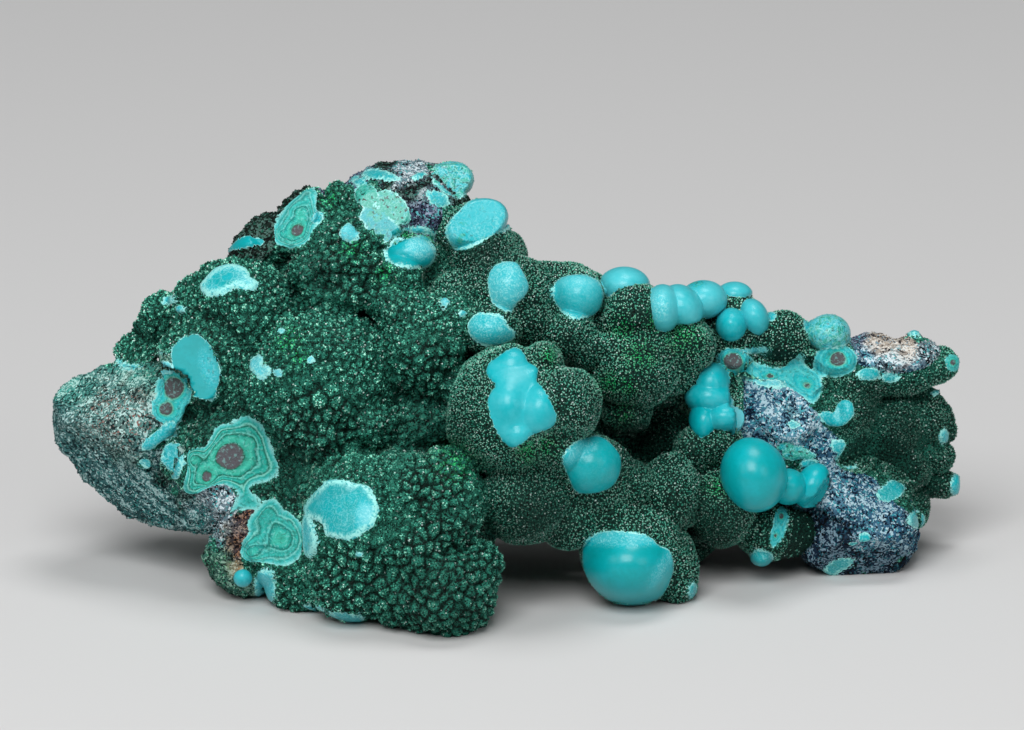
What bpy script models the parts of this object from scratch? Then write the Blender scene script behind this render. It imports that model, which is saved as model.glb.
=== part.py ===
"""Malachite specimen: botryoidal malachite with chrysocolla domes and broken rock at both ends.

It is one natural piece, so it is one solid. It rests on the XY plane with +Z up and its main
face towards -Y. Lengths in the tables are millimetres.

The lobes are placed in the frame of the main face, which leans back by FACE_LEAN: across it to
the right, up it, and behind it (less is nearer to the viewer).
"""
import math

import bmesh
import bpy
import numpy as np
from mathutils import Matrix, Vector, noise

MM = 0.001
NAME = "malachite_specimen"
FACE_LEAN = math.radians(16.0)

VOXEL = 0.8              # mm, grid on which the lobes grow together
BLEND = 0.25             # mm, softness of the creases between lobes
TRIANGLES = 9400         # of the finished solid
FACE_SHARE = 2.6         # how much finer the main face is kept than the back
FLOOR_CLEARANCE = 0.2    # mm, no corner lies nearer to the floor's plane when it is cut

LUMP = (8.0, 0.9)        # mm, size and height of the swells on every lobe
KNOB = (3.2, 0.8)        # of the rounded knobs where the stone is roughest
PLAIN_KNOB_SHARE = 0.5   # of that height elsewhere on the knobbly lobes
VELVET_KNOB_SHARE = 0.15  # and on the velvet lobes
LEDGE = (8.0, 1.4)       # of the broken rock's ledges

BUD_COUNT = 46           # small lobes budding from the back
BUD_RADIUS = (3.0, 6.5)  # mm
BUD_SEED = 11

# name, across, up, behind, half-widths across / up / behind, roll in degrees
KNOBBLY_LOBES = [
    # upper left: two edge knobs, a round dome and the big bumpy dome below it
    ("left_knob_high", -56.6, 45.0, 2.0, 4.0, 3.9, 5.5, 0),
    ("left_knob_mid", -58.8, 41.6, 5.0, 3.6, 3.2, 5.0, 0),
    ("left_knob_low", -60.8, 40.2, 4.0, 4.4, 2.9, 6.0, 0),
    ("upper_left_dome", -43.6, 45.4, -6.0, 9.6, 9.0, 11.0, 0),
    ("upper_left_side", -50.4, 46.0, -2.0, 5.2, 5.4, 8.0, 0),
    ("upper_left_low", -41.0, 38.0, -7.0, 5.2, 5.4, 8.6, 0),
    ("big_bumpy_dome", -30.6, 34.5, -9.0, 12.4, 12.3, 15.0, 0),
    ("big_dome_left", -38.6, 31.6, -9.0, 6.4, 8.0, 11.5, 0),
    ("dome_skirt_left", -36.5, 26.5, -12.0, 5.0, 4.5, 8.0, 0),
    ("dome_skirt_middle", -29.5, 25.2, -13.0, 5.5, 4.0, 8.0, 0),
    ("dome_skirt_right", -22.8, 27.0, -12.5, 5.0, 4.6, 8.0, 0),
    ("left_hollow_floor", -49.0, 28.0, 1.0, 6.0, 6.5, 7.0, 0),
    # top: a mass of small bumps and a green knob
    ("top_mass", -26.0, 53.0, -4.0, 9.6, 8.5, 11.0, 0),
    ("top_bump_one", -31.6, 56.4, -7.0, 3.4, 3.4, 5.0, 0),
    ("top_bump_two", -27.2, 57.6, -9.5, 3.2, 3.0, 4.6, 0),
    ("top_bump_three", -22.6, 57.2, -9.5, 3.4, 3.2, 4.8, 0),
    ("top_bump_four", -32.4, 51.8, -9.0, 3.6, 3.4, 5.0, 0),
    ("top_bump_five", -27.6, 52.8, -12.0, 3.4, 3.2, 5.0, 0),
    ("top_bump_six", -22.4, 52.6, -12.0, 3.2, 3.0, 5.0, 0),
    ("top_bump_seven", -17.8, 51.2, -11.5, 3.6, 3.4, 5.4, 0),
    ("top_bump_eight", -25.6, 48.4, -12.0, 3.6, 3.0, 5.0, 0),
    ("top_bump_nine", -20.6, 47.6, -12.6, 3.2, 3.0, 5.0, 0),
    ("top_bump_ten", -30.6, 48.0, -9.0, 3.2, 2.8, 5.0, 0),
    ("green_knob", -27.9, 63.4, -2.0, 3.3, 3.4, 4.8, 0),
    ("green_knob_foot", -28.6, 60.6, -3.0, 3.8, 3.2, 5.5, 0),
    # centre left: the lobe beside the middle one, and the shaded one below it
    ("centre_left_lobe", -14.2, 40.3, -12.0, 7.6, 8.2, 10.0, 0),
    ("centre_left_high", -16.8, 45.2, -13.5, 4.6, 4.2, 6.5, 0),
    ("centre_left_side", -9.6, 44.0, -12.0, 4.6, 4.6, 6.5, 0),
    ("centre_left_low", -11.6, 34.8, -12.0, 4.6, 4.2, 7.0, 0),
    ("recess_lobe", -14.5, 27.5, -8.0, 6.5, 6.0, 7.0, 0),
    ("recess_knob", -17.6, 23.8, -9.0, 4.0, 3.4, 6.0, 0),
    # lower left: the big front mass the specimen stands on
    ("front_main", -22.0, 10.0, -15.0, 12.0, 12.4, 16.0, 0),
    ("front_top_left", -25.4, 16.4, -17.5, 7.0, 6.4, 10.5, 0),
    ("front_top", -17.0, 16.6, -19.5, 7.4, 6.6, 12.0, 0),
    ("front_right", -10.4, 14.2, -19.0, 6.6, 9.3, 13.5, 0),
    ("front_middle", -15.0, 7.0, -22.0, 6.6, 7.0, 10.5, 0),
    ("front_low", -10.4, 0.6, -21.0, 8.4, 8.4, 12.0, 0),
    ("front_low_right", -6.4, 3.6, -20.0, 5.4, 5.6, 9.0, 0),
    ("front_low_join", -17.6, 0.4, -19.5, 6.4, 6.0, 9.5, 0),
    ("front_low_left", -25.0, 3.0, -16.0, 8.6, 7.6, 11.5, 0),
    ("front_left_flank", -35.6, 7.6, -8.0, 7.2, 7.8, 10.0, 0),
    ("front_left_low", -33.5, 1.5, -8.0, 6.0, 5.5, 8.0, 0),
    ("front_left_shade", -35.0, 17.0, -7.0, 5.0, 4.4, 7.0, 0),
    # back of the specimen: broad lobes, on which the small ones bud
    ("back_left", -50.0, 29.0, 15.0, 11.0, 10.0, 10.0, 0),
    ("back_left_high", -33.0, 44.0, 15.0, 12.0, 11.0, 11.0, 0),
    ("back_top", -12.0, 53.0, 13.0, 13.0, 11.5, 10.0, 0),
    ("back_middle", 4.0, 35.0, 17.0, 14.0, 13.0, 11.0, 0),
    ("back_low_left", -28.0, 16.0, 12.0, 14.0, 12.0, 12.0, 0),
    ("back_foot_left", -26.0, 9.0, 15.0, 9.0, 8.0, 8.0, 0),
]

VELVET_LOBES = [
    # saddle between the top and the right half
    ("saddle_lobe", -0.5, 48.8, -8.0, 8.0, 6.8, 8.5, 0),
    ("saddle_left", -8.0, 48.2, -8.0, 4.6, 4.3, 6.5, 0),
    ("saddle_low", -3.0, 43.0, -12.0, 5.6, 4.6, 6.5, 0),
    ("grey_slope", -3.7, 54.0, -2.0, 7.0, 6.5, 9.5, -10),
    ("horizon_lobe", 9.2, 46.6, -1.0, 7.6, 7.0, 9.5, 0),
    ("horizon_low", 7.0, 51.3, 0.0, 4.2, 2.4, 6.0, -20),
    ("horizon_right", 13.5, 49.5, 0.0, 3.2, 2.7, 5.0, 0),
    ("shade_lobe", 3.3, 44.3, -8.5, 4.3, 4.3, 6.5, 0),
    ("under_ball_lobe", 9.6, 41.8, -8.0, 4.8, 4.2, 7.0, 0),
    ("small_lobe", 5.8, 37.8, -19.0, 3.3, 3.0, 6.0, 0),
    # the big round middle lobe and what hangs below it
    ("middle_lobe", 0.4, 29.3, -17.0, 10.8, 10.6, 15.0, 0),
    ("middle_side", 8.5, 30.6, -21.0, 6.6, 6.4, 11.0, 0),
    ("middle_low_side", 7.6, 23.6, -18.0, 5.6, 4.4, 9.0, -20),
    ("lower_middle", 2.6, 14.7, -14.0, 7.4, 6.9, 11.0, 0),
    ("lower_middle_right", 10.2, 12.3, -10.0, 5.6, 5.3, 8.0, 0),
    ("under_faceted_ball", 13.6, 18.8, -12.0, 7.0, 6.2, 8.5, 0),
    ("shade_knob", 20.0, 17.6, -9.0, 3.4, 3.7, 6.0, 0),
    ("shade_knob_low", 16.4, 12.2, -9.0, 4.6, 4.2, 7.0, 0),
    # right of the middle lobe, above the deep hollow
    ("right_high_lobe", 20.9, 45.2, -4.0, 6.4, 4.5, 9.0, 14),
    ("right_side_lobe", 29.6, 40.6, -3.0, 4.2, 4.6, 8.0, 0),
    ("right_fold", 21.2, 39.3, -5.2, 8.0, 4.0, 8.8, 4),
    ("right_centre_lobe", 20.6, 35.6, -6.4, 6.8, 5.8, 9.2, 0),
    ("right_joint_lobe", 26.8, 36.6, -1.0, 4.8, 4.8, 7.0, 0),
    ("right_shade_lobe", 19.6, 29.0, -2.0, 4.2, 3.4, 6.5, 0),
    ("link_lobe", 12.8, 39.4, -7.0, 3.4, 3.2, 6.0, 0),
    # lower right: the foot under the chrysocolla dome and the knobs beside it
    ("foot_lobe", 20.0, 6.3, -7.5, 8.6, 8.3, 10.0, 0),
    ("foot_side", 27.2, 4.0, -5.0, 4.0, 6.4, 7.0, 0),
    ("bright_knob", 26.6, 15.8, -4.0, 5.4, 6.2, 8.0, 0),
    ("dim_knob", 35.2, 13.6, -0.5, 5.6, 6.4, 7.5, 0),
    ("dim_knob_low", 42.4, 9.8, 4.0, 5.2, 4.6, 7.0, 0),
    ("under_bit", 34.5, 10.2, 6.0, 5.0, 2.8, 6.0, 0),
    # right: around the three-lobed ball, the round lobe and the finger
    ("fork_lobe", 34.4, 23.8, -0.5, 4.2, 3.4, 6.0, 0),
    ("fork_lobe_left", 30.4, 23.2, 0.5, 3.6, 4.4, 6.0, 0),
    ("ball_base", 33.6, 31.5, 4.0, 5.0, 6.0, 7.5, 0),
    ("hollow_wall", 25.5, 27.0, 13.5, 6.5, 7.5, 6.0, 0),
    ("right_back_lobe", 36.8, 43.4, 5.0, 5.8, 5.6, 7.5, 0),
    ("right_round_lobe", 44.6, 41.3, 5.0, 4.8, 4.7, 7.0, 0),
    ("ring_knob", 36.9, 38.1, 3.0, 3.0, 2.6, 5.5, 0),
    ("chain_knob", 42.3, 36.6, 3.5, 3.8, 2.0, 5.5, 0),
    ("chain_lump", 48.6, 35.6, 4.5, 3.6, 3.8, 6.5, 0),
    ("ring_lump", 53.7, 37.9, 6.5, 3.9, 3.1, 6.0, -15),
    ("heart_lobe", 55.2, 28.6, 8.5, 5.0, 5.2, 8.0, 0),
    ("heart_low", 56.8, 22.6, 9.5, 4.0, 3.8, 6.5, 0),
    ("finger_root", 57.0, 34.6, 10.0, 6.0, 4.2, 7.5, 0),
    ("finger", 64.4, 34.9, 12.0, 9.2, 3.0, 6.5, 8),
    ("finger_tip", 71.8, 37.4, 14.0, 2.6, 2.6, 3.5, 0),
    ("right_mass", 63.2, 26.0, 15.0, 5.6, 6.0, 8.0, 0),
    ("right_mass_side", 68.4, 27.6, 18.0, 4.6, 5.4, 7.0, 0),
    ("right_mass_low", 64.4, 20.2, 16.0, 5.6, 4.4, 7.5, 0),
    ("right_mass_top", 68.6, 31.2, 17.0, 2.8, 2.6, 5.0, 0),
    ("right_edge_high", 71.4, 26.2, 19.0, 2.0, 2.2, 4.0, 0),
    ("right_edge_knob", 70.6, 21.8, 18.0, 2.9, 2.6, 5.0, 0),
    ("right_tip_knob", 70.4, 17.3, 21.0, 4.4, 2.2, 4.0, 0),
    ("right_low_knob", 66.6, 13.4, 17.5, 3.0, 3.6, 4.5, 0),
    ("right_low_join", 62.6, 15.6, 15.0, 4.0, 3.4, 6.5, 0),
    # back
    ("back_right", 27.0, 34.0, 20.0, 12.0, 10.0, 10.0, 0),
    ("back_right_far", 46.0, 30.0, 21.0, 11.0, 10.0, 9.0, 0),
    ("back_low_middle", 1.0, 20.5, 15.0, 14.0, 12.0, 11.0, 0),
    ("back_low_right", 40.0, 19.5, 21.0, 12.0, 10.0, 9.0, 0),
    ("back_end_right", 60.0, 27.0, 22.0, 9.0, 9.0, 8.0, 0),
    ("back_foot_right", 26.0, 12.0, 14.0, 9.0, 9.0, 9.0, 0),
]

CHRYSOCOLLA_BALLS = [
    ("foot_ball", 19.6, 4.5, -9.5, 7.2, 5.9, 10.5, 0),
    ("faceted_ball", 13.3, 20.8, -17.5, 5.0, 4.8, 7.0, 0),
    ("upper_ball_one", 11.4, 48.2, -6.5, 4.2, 4.0, 6.0, 0),
    ("upper_ball_two", 18.9, 49.7, -3.0, 3.9, 2.9, 5.0, 0),
    ("upper_ball_three", 25.1, 46.1, -8.0, 2.6, 3.6, 5.6, 0),
    ("upper_ridge_three", 28.4, 46.4, -6.0, 2.7, 3.6, 5.4, 35),
    ("upper_ball_four", 31.9, 47.6, -1.5, 3.5, 2.8, 5.0, 0),
    ("upper_ball_five", 36.4, 43.5, -2.0, 2.15, 2.35, 4.0, 0),
    ("upper_ball_six", 40.2, 44.8, -0.5, 1.9, 2.7, 4.0, 25),
    ("far_ball", 37.0, 48.2, 4.0, 2.7, 2.0, 3.5, 0),
    ("fork_ball_top", 33.1, 34.0, -0.6, 2.7, 3.0, 5.0, 12),
    ("fork_ball_middle", 35.2, 28.4, -1.8, 3.1, 2.3, 5.2, 5),
    ("fork_ball_left", 31.9, 27.6, -1.4, 2.1, 3.2, 5.0, -4),
    ("fork_ball_neck", 32.9, 31.6, -1.0, 3.8, 2.6, 5.2, -8),
    ("big_ball", 40.0, 19.0, -6.5, 5.05, 5.8, 7.0, 14),
    ("second_ball", 45.7, 17.0, -1.5, 2.7, 2.6, 4.8, 0),
    ("wedge_ball", 49.6, 17.2, 1.0, 2.3, 3.5, 4.6, -28),
    ("centre_dome_top", 0.6, 37.0, -22.8, 3.5, 2.9, 5.2, 0),
    ("centre_dome_side", 4.0, 35.0, -24.5, 1.9, 1.9, 4.4, 0),
    ("centre_dome_left", 0.0, 30.4, -27.4, 3.4, 4.2, 5.4, 0),
    ("centre_dome_right", 5.0, 29.6, -27.4, 3.6, 4.6, 5.6, -15),
    ("centre_dome_low", 1.6, 25.6, -27.4, 2.9, 2.9, 4.8, 0),
    ("mottled_knob", 52.3, 42.1, 5.0, 3.4, 2.8, 5.0, 0),
    ("saddle_dome", 0.1, 49.6, -12.0, 3.8, 4.5, 6.0, 0),
    ("low_saddle_dome", -2.9, 42.8, -14.0, 4.2, 2.8, 5.5, 0),
    ("top_front_dome", -16.2, 55.1, -8.0, 4.3, 3.0, 6.0, 0),
    ("slanted_dome", -5.9, 59.7, -5.5, 5.8, 3.6, 6.5, 24),
    ("top_lump", -9.3, 67.2, 2.0, 3.3, 2.8, 4.8, 0),
    ("low_bit", 41.4, 5.6, 3.0, 1.5, 1.3, 3.5, 0),
    ("bead", -43.3, 2.4, -9.5, 1.3, 1.3, 2.5, 0),
    ("left_crust", -57.2, 25.6, -3.6, 3.2, 1.9, 2.6, 40),
    ("left_bit", -54.7, 21.3, -6.0, 1.9, 3.3, 2.6, 0),
    ("left_bead_small", -59.4, 20.7, -3.4, 1.1, 0.8, 1.6, 0),
]

ROCK_LOBES = [
    # bulk of the specimen, behind the lobes
    ("bulk_left_end", -59.5, 25.0, 11.0, 12.5, 10.5, 12.0, -15),
    ("bulk_front_left", -22.0, 13.0, -2.0, 20.0, 15.0, 18.0, 0),
    ("bulk_upper_left", -36.0, 36.0, 5.0, 20.0, 17.0, 19.0, 0),
    ("bulk_top", -17.0, 50.0, 8.0, 18.0, 14.0, 15.0, 0),
    ("bulk_top_left", -36.0, 53.0, 6.0, 8.5, 7.5, 10.0, 0),
    ("bulk_middle", -1.0, 28.0, 5.0, 17.0, 17.0, 17.0, 0),
    ("bulk_middle_back", 19.0, 29.0, 18.5, 18.0, 15.0, 10.0, 0),
    ("bulk_right", 44.0, 27.0, 14.0, 18.0, 14.5, 13.0, 0),
    ("bulk_right_end", 62.0, 25.0, 20.0, 9.0, 11.0, 10.0, 0),
    # broken rock that shows on the main face
    ("left_rock", -62.5, 27.6, 6.0, 13.2, 9.8, 12.5, -2),
    ("left_rock_low", -60.5, 18.2, 9.0, 13.6, 5.4, 11.5, -34),
    ("left_rock_top", -60.8, 33.6, 3.0, 7.4, 4.7, 8.0, -5),
    ("left_join", -48.5, 16.0, 2.0, 8.0, 6.5, 10.0, 0),
    ("left_ring_rock", -55.4, 31.6, -2.0, 4.2, 6.6, 7.0, 0),
    ("left_foot_rock", -43.6, 5.0, -3.0, 6.0, 6.3, 8.0, 0),
    ("tan_rock", -42.3, 10.3, -5.0, 5.0, 4.6, 8.0, 0),
    ("band_rock", -45.2, 21.2, -6.0, 10.2, 9.0, 9.4, -8),
    ("disc_rock", -51.0, 36.8, -7.6, 5.6, 7.4, 8.2, 20),
    ("top_rock", -17.0, 62.0, 3.0, 11.0, 8.3, 12.0, 0),
    ("top_left_rock", -40.4, 56.2, 0.0, 6.2, 3.9, 8.0, 35),
    ("top_band_rock", -34.3, 60.0, -2.5, 3.1, 7.0, 7.0, -35),
    ("top_flat_rock", -20.2, 61.2, -4.0, 5.4, 4.6, 6.5, -20),
    ("right_rock_high", 44.6, 29.3, 8.5, 9.0, 7.2, 10.0, -24),
    ("right_rock_low", 56.0, 11.2, 11.0, 11.2, 9.4, 12.0, -20),
    ("finger_rock", 59.5, 38.2, 10.0, 10.5, 3.4, 7.0, -5),
    ("finger_crest", 67.4, 39.6, 12.5, 3.6, 2.4, 4.5, -25),
    ("top_rock_left", -23.5, 63.4, 2.0, 5.0, 3.6, 8.0, 15),
]

# Broken faces, where a blow has cut the stone flat: name, a point on the face (across, up,
# behind), how far the face reaches, and the way that it looks (across, up, behind)
BROKEN_FACES = [
    ("disc", -51.0, 36.8, -12.6, 9.5, -0.12, 0.08, -1.0),
    ("banded_face", -45.2, 21.0, -11.6, 11.5, 0.10, -0.18, -1.0),
    ("banded_eye", -36.2, 9.4, -14.4, 7.0, -0.35, 0.05, -1.0),
    ("top_banded_face", -34.8, 60.4, -7.4, 7.5, -0.35, 0.25, -1.0),
    ("left_banded_face", -55.4, 31.4, -7.2, 7.0, -0.10, -0.05, -1.0),
    ("right_ring", 54.2, 37.2, 1.6, 2.6, 0.05, 0.30, -1.0),
    ("ring_knob_face", 36.9, 38.1, -1.4, 2.6, 0.05, 0.20, -1.0),
    ("top_flat_face", -20.2, 61.4, -8.8, 6.5, -0.15, 0.30, -1.0),
    ("slanted_face", -5.7, 60.2, -9.8, 7.0, 0.22, 0.36, -1.0),
    ("top_lump_face", -9.3, 67.2, -1.4, 4.2, 0.15, 0.35, -1.0),
    ("high_rock_face", 44.6, 29.3, 0.6, 10.0, 0.05, 0.25, -1.0),
    ("low_rock_left", 50.6, 8.2, 4.0, 6.6, -0.75, -0.05, -1.0),
    ("low_rock_front", 57.0, 10.0, 1.6, 10.0, 0.12, 0.10, -1.0),
    ("low_rock_top", 60.6, 16.2, 5.0, 9.0, 0.60, 0.95, -0.9),
    ("low_rock_under", 57.0, 4.6, 6.0, 8.0, 0.15, -1.0, -0.8),
    ("left_end_top", -67.5, 31.5, 1.0, 14.0, -0.62, 0.80, -0.80),
    ("left_end_front", -61.5, 27.0, -5.6, 11.0, -0.22, 0.02, -1.0),
    ("left_end_under", -65.5, 20.7, 1.0, 14.0, -0.70, -0.80, -0.85),
    ("left_tip", -74.4, 27.5, 6.0, 6.0, -1.0, 0.0, -0.35),
    ("finger_slab", 64.5, 40.25, 7.5, 8.0, 0.10, 1.0, -1.10),
]

# Where the knobs are largest: across, up, radius
ROUGH_PLACES = [
    (-10.0, 2.0, 13.0), (-25.0, 1.0, 9.0), (-25.0, 54.0, 8.0), (-31.0, 27.0, 8.0), (-13.0, 36.0, 6.0),
    (-12.0, 18.0, 7.0),
]

# ---------------------------------------------------------------- the lobes


def lean():
    """Rotation from (across, behind, up) to the world's axes."""
    return Matrix.Rotation(-FACE_LEAN, 4, "X")


def to_face(points):
    """World points in mm, as an array of (across, up, behind)."""
    lean_sin, lean_cos = math.sin(FACE_LEAN), math.cos(FACE_LEAN)
    across = points[:, 0]
    up = points[:, 1] * lean_sin + points[:, 2] * lean_cos
    behind = points[:, 1] * lean_cos - points[:, 2] * lean_sin
    return np.stack([across, up, behind], axis=1)


def to_world(points):
    """The reverse of to_face."""
    lean_sin, lean_cos = math.sin(FACE_LEAN), math.cos(FACE_LEAN)
    x = points[:, 0]
    y = points[:, 1] * lean_sin + points[:, 2] * lean_cos
    z = points[:, 1] * lean_cos - points[:, 2] * lean_sin
    return np.stack([x, y, z], axis=1)


def lobe_distance(points, lobe):
    """Distance in mm from face-frame points to one lobe's surface, less than 0 inside it."""
    _, across, up, behind, half_across, half_up, half_behind, roll = lobe
    roll = math.radians(roll)
    da = points[:, 0] - across
    du = points[:, 1] - up
    x = (da * math.cos(roll) + du * math.sin(roll)) / half_across
    z = (du * math.cos(roll) - da * math.sin(roll)) / half_up
    y = (points[:, 2] - behind) / half_behind
    reach = np.sqrt(x * x + y * y + z * z) + 1e-9
    slope = np.sqrt((x / half_across) ** 2 + (y / half_behind) ** 2 + (z / half_up) ** 2) + 1e-9
    return reach * (reach - 1.0) / slope


def mass_distance(points, lobes):
    """Distance to the lobes grown together, with their creases softened by BLEND."""
    total = np.zeros(len(points))
    for lobe in lobes:
        total += np.exp(np.clip(-lobe_distance(points, lobe) / BLEND, -60.0, 60.0))
    return -BLEND * np.log(total + 1e-30)


def bud_lobes(parents):
    """Small lobes on the back, each centred a little under the surface of the mass."""
    rng = np.random.default_rng(BUD_SEED)
    centre = np.array([0.0, 28.0, 12.0])
    buds = []
    while len(buds) < BUD_COUNT:
        start = centre + np.array([rng.uniform(-58, 58), rng.uniform(-8, 14), 0.0])
        aim = np.array([rng.normal(0, 0.5), rng.normal(0, 0.8), abs(rng.normal(0.8, 0.5))])
        aim /= np.linalg.norm(aim)
        steps = np.arange(0.0, 60.0, 0.5)
        path = start + steps[:, None] * aim
        inside = mass_distance(path, parents) < 0.0
        if not inside[0]:
            continue
        point = path[np.argmin(inside)]
        radius = rng.uniform(*BUD_RADIUS)
        if to_world(point[None])[0][2] < radius + 2.0 or point[2] < 14.0:
            continue
        squash = rng.uniform(0.75, 1.0)
        buds.append(("bud", *(point - aim * radius * 0.35), radius, radius * squash, radius, 0))
    return buds


def add_lobe(bm, lobe):
    _, across, up, behind, half_across, half_up, half_behind, roll = lobe
    place = (
        lean()
        @ Matrix.Translation(Vector((across, behind, up)) * MM)
        @ Matrix.Rotation(math.radians(-roll), 4, "Y")
        @ Matrix.Diagonal(Vector((half_across, half_behind, half_up, 1000.0)) * MM)
    )
    bmesh.ops.create_icosphere(bm, subdivisions=3, radius=1.0, matrix=place)


def grow_together(lobes):
    """All the lobes as one closed skin, on a voxel grid."""
    bm = bmesh.new()
    for lobe in lobes:
        add_lobe(bm, lobe)
    mesh = bpy.data.meshes.new(NAME)
    bm.to_mesh(mesh)
    bm.free()
    solid = bpy.data.objects.new(NAME, mesh)
    bpy.data.collections[NAME].objects.link(solid)
    remesh = solid.modifiers.new("grow_together", "REMESH")
    remesh.mode = "VOXEL"
    remesh.voxel_size = VOXEL * MM
    apply_modifiers(solid)
    return solid


def apply_modifiers(solid):
    """Replaces the object's mesh with the result of its modifiers."""
    depsgraph = bpy.context.evaluated_depsgraph_get()
    made = bpy.data.meshes.new_from_object(solid.evaluated_get(depsgraph))
    old = solid.data
    solid.modifiers.clear()
    solid.data = made
    bpy.data.meshes.remove(old)


def keep_outer_skin(solid):
    """Removes the skins of hollows that the lobes closed off inside the mass."""
    bm = bmesh.new()
    bm.from_mesh(solid.data)
    unseen = set(bm.verts)
    skins = []
    while unseen:
        stack = [unseen.pop()]
        skin = list(stack)
        while stack:
            vert = stack.pop()
            for edge in vert.link_edges:
                other = edge.other_vert(vert)
                if other in unseen:
                    unseen.remove(other)
                    stack.append(other)
                    skin.append(other)
        skins.append(skin)
    skins.sort(key=len)
    for skin in skins[:-1]:
        bmesh.ops.delete(bm, geom=skin, context="VERTS")
    bm.to_mesh(solid.data)
    bm.free()


# ---------------------------------------------------------------- the surface


def read_points(mesh):
    points = np.empty(len(mesh.vertices) * 3)
    mesh.vertices.foreach_get("co", points)
    return points.reshape(-1, 3) / MM


def write_points(mesh, points):
    mesh.vertices.foreach_set("co", (points * MM).ravel())
    mesh.update()


def read_normals(mesh):
    normals = np.empty(len(mesh.vertices) * 3)
    mesh.vertices.foreach_get("normal", normals)
    return normals.reshape(-1, 3)


def knob_height(point):
    """Rounded knobs that meet in creases, -1 in a crease to 1 on top."""
    nearest = noise.voronoi(point / KNOB[0])[0][0]
    return (1.0 - 2.4 * nearest * nearest) * KNOB[1]


def knob_strength(face, knobbly, velvet):
    """The share of the knobs' full height at each point."""
    rough = np.zeros(len(face))
    for across, up, radius in ROUGH_PLACES:
        gap = np.hypot(face[:, 0] - across, face[:, 1] - up) / radius
        rough = np.maximum(rough, np.exp(-gap * gap))
    return knobbly * (PLAIN_KNOB_SHARE + (1.0 - PLAIN_KNOB_SHARE) * rough) + velvet * VELVET_KNOB_SHARE


def ledge_height(point):
    """Broken ledges: a rough fractal, half flattened into steps."""
    rough = noise.fractal(point / LEDGE[0], 0.9, 2.1, 4)
    step = round(rough * 4.0) / 4.0
    return (0.5 * rough + 0.5 * step) * LEDGE[1]


def lump_height(point):
    """Low swells that keep a lobe from being an exact ellipsoid."""
    return noise.fractal(point / LUMP[0], 1.0, 2.0, 2) * LUMP[1]


def settle_on_lobes(points, lobes):
    """Moves each point onto the softened surface of the lobes."""
    face = to_face(points)
    for _ in range(2):
        here = mass_distance(face, lobes)
        gradient = np.empty_like(face)
        for axis in range(3):
            ahead = face.copy()
            ahead[:, axis] += 0.05
            gradient[:, axis] = (mass_distance(ahead, lobes) - here) / 0.05
        gradient /= np.linalg.norm(gradient, axis=1)[:, None] + 1e-9
        face -= gradient * np.clip(here, -VOXEL, VOXEL)[:, None]
    return to_world(face)


def kind_shares(face):
    """How much each point belongs to each kind of lobe, in the order of the tables."""
    nearest = []
    for group in (KNOBBLY_LOBES, VELVET_LOBES, CHRYSOCOLLA_BALLS, ROCK_LOBES):
        reach = np.min([lobe_distance(face, lobe) for lobe in group], axis=0)
        nearest.append(np.exp(-np.clip(reach, 0.0, 20.0) / 0.8))
    shares = np.array(nearest)
    return shares / shares.sum(axis=0)


def roughen(solid, lobes):
    """Knobs on the malachite, ledges on the rock, and smooth chrysocolla."""
    points = settle_on_lobes(read_points(solid.data), lobes)
    write_points(solid.data, points)
    normals = read_normals(solid.data)
    face = to_face(points)
    knobbly, velvet, _, rock = kind_shares(face)
    spots = [Vector(point) for point in points]
    height = np.array([knob_height(spot) for spot in spots]) * knob_strength(face, knobbly, velvet)
    height += np.array([ledge_height(spot) for spot in spots]) * rock
    height += np.array([lump_height(spot) for spot in spots]) * (knobbly + velvet)
    write_points(solid.data, points + normals * height[:, None])


def break_flat(solid):
    """Moves what stands out beyond each broken face back onto it."""
    face = to_face(read_points(solid.data))
    for _, across, up, behind, reach, *look in BROKEN_FACES:
        middle = np.array([across, up, behind])
        look = np.array(look) / np.linalg.norm(look)
        beyond = (face - middle) @ look
        cut = (beyond > 0.0) & (np.linalg.norm(face - middle, axis=1) < reach)
        face[cut] -= beyond[cut, None] * look
    write_points(solid.data, to_world(face))


# ---------------------------------------------------------------- the finished solid


def clear_floor(solid):
    """Moves the corners that lie almost on the floor's plane a little off it."""
    points = read_points(solid.data)
    near = np.abs(points[:, 2]) < FLOOR_CLEARANCE
    points[near, 2] = np.where(points[near, 2] < 0.0, -FLOOR_CLEARANCE, FLOOR_CLEARANCE)
    write_points(solid.data, points)


def cut_base(solid):
    """Cuts off what is below the floor, which leaves flat places to rest on."""
    size = 0.4
    bm = bmesh.new()
    bmesh.ops.create_cube(bm, size=size, matrix=Matrix.Translation((0, 0, -size / 2)))
    mesh = bpy.data.meshes.new("floor_cutter")
    bm.to_mesh(mesh)
    bm.free()
    cutter = bpy.data.objects.new("floor_cutter", mesh)
    bpy.data.collections["cutters"].objects.link(cutter)
    cutter.display_type = "WIRE"
    cutter.hide_render = True
    cut = solid.modifiers.new("cut_base", "BOOLEAN")
    cut.operation = "DIFFERENCE"
    cut.solver = "EXACT"
    cut.object = cutter
    apply_modifiers(solid)


def thin(solid):
    """Fewer triangles, with more of them kept on the main face."""
    mesh = solid.data
    group = solid.vertex_groups.new(name="back")
    normals = to_face(read_normals(mesh))
    for index, behind in enumerate(normals[:, 2]):
        weight = 1.0 if behind < 0.35 else 1.0 / FACE_SHARE
        group.add([index], weight, "REPLACE")
    mesh.calc_loop_triangles()
    thinner = solid.modifiers.new("thin", "DECIMATE")
    thinner.ratio = TRIANGLES / len(mesh.loop_triangles)
    thinner.use_collapse_triangulate = True
    apply_modifiers(solid)


def centre_on_floor(solid):
    points = read_points(solid.data)
    middle = (points.min(axis=0) + points.max(axis=0)) / 2
    points -= np.array([middle[0], middle[1], points[:, 2].min()])
    write_points(solid.data, points)


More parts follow.
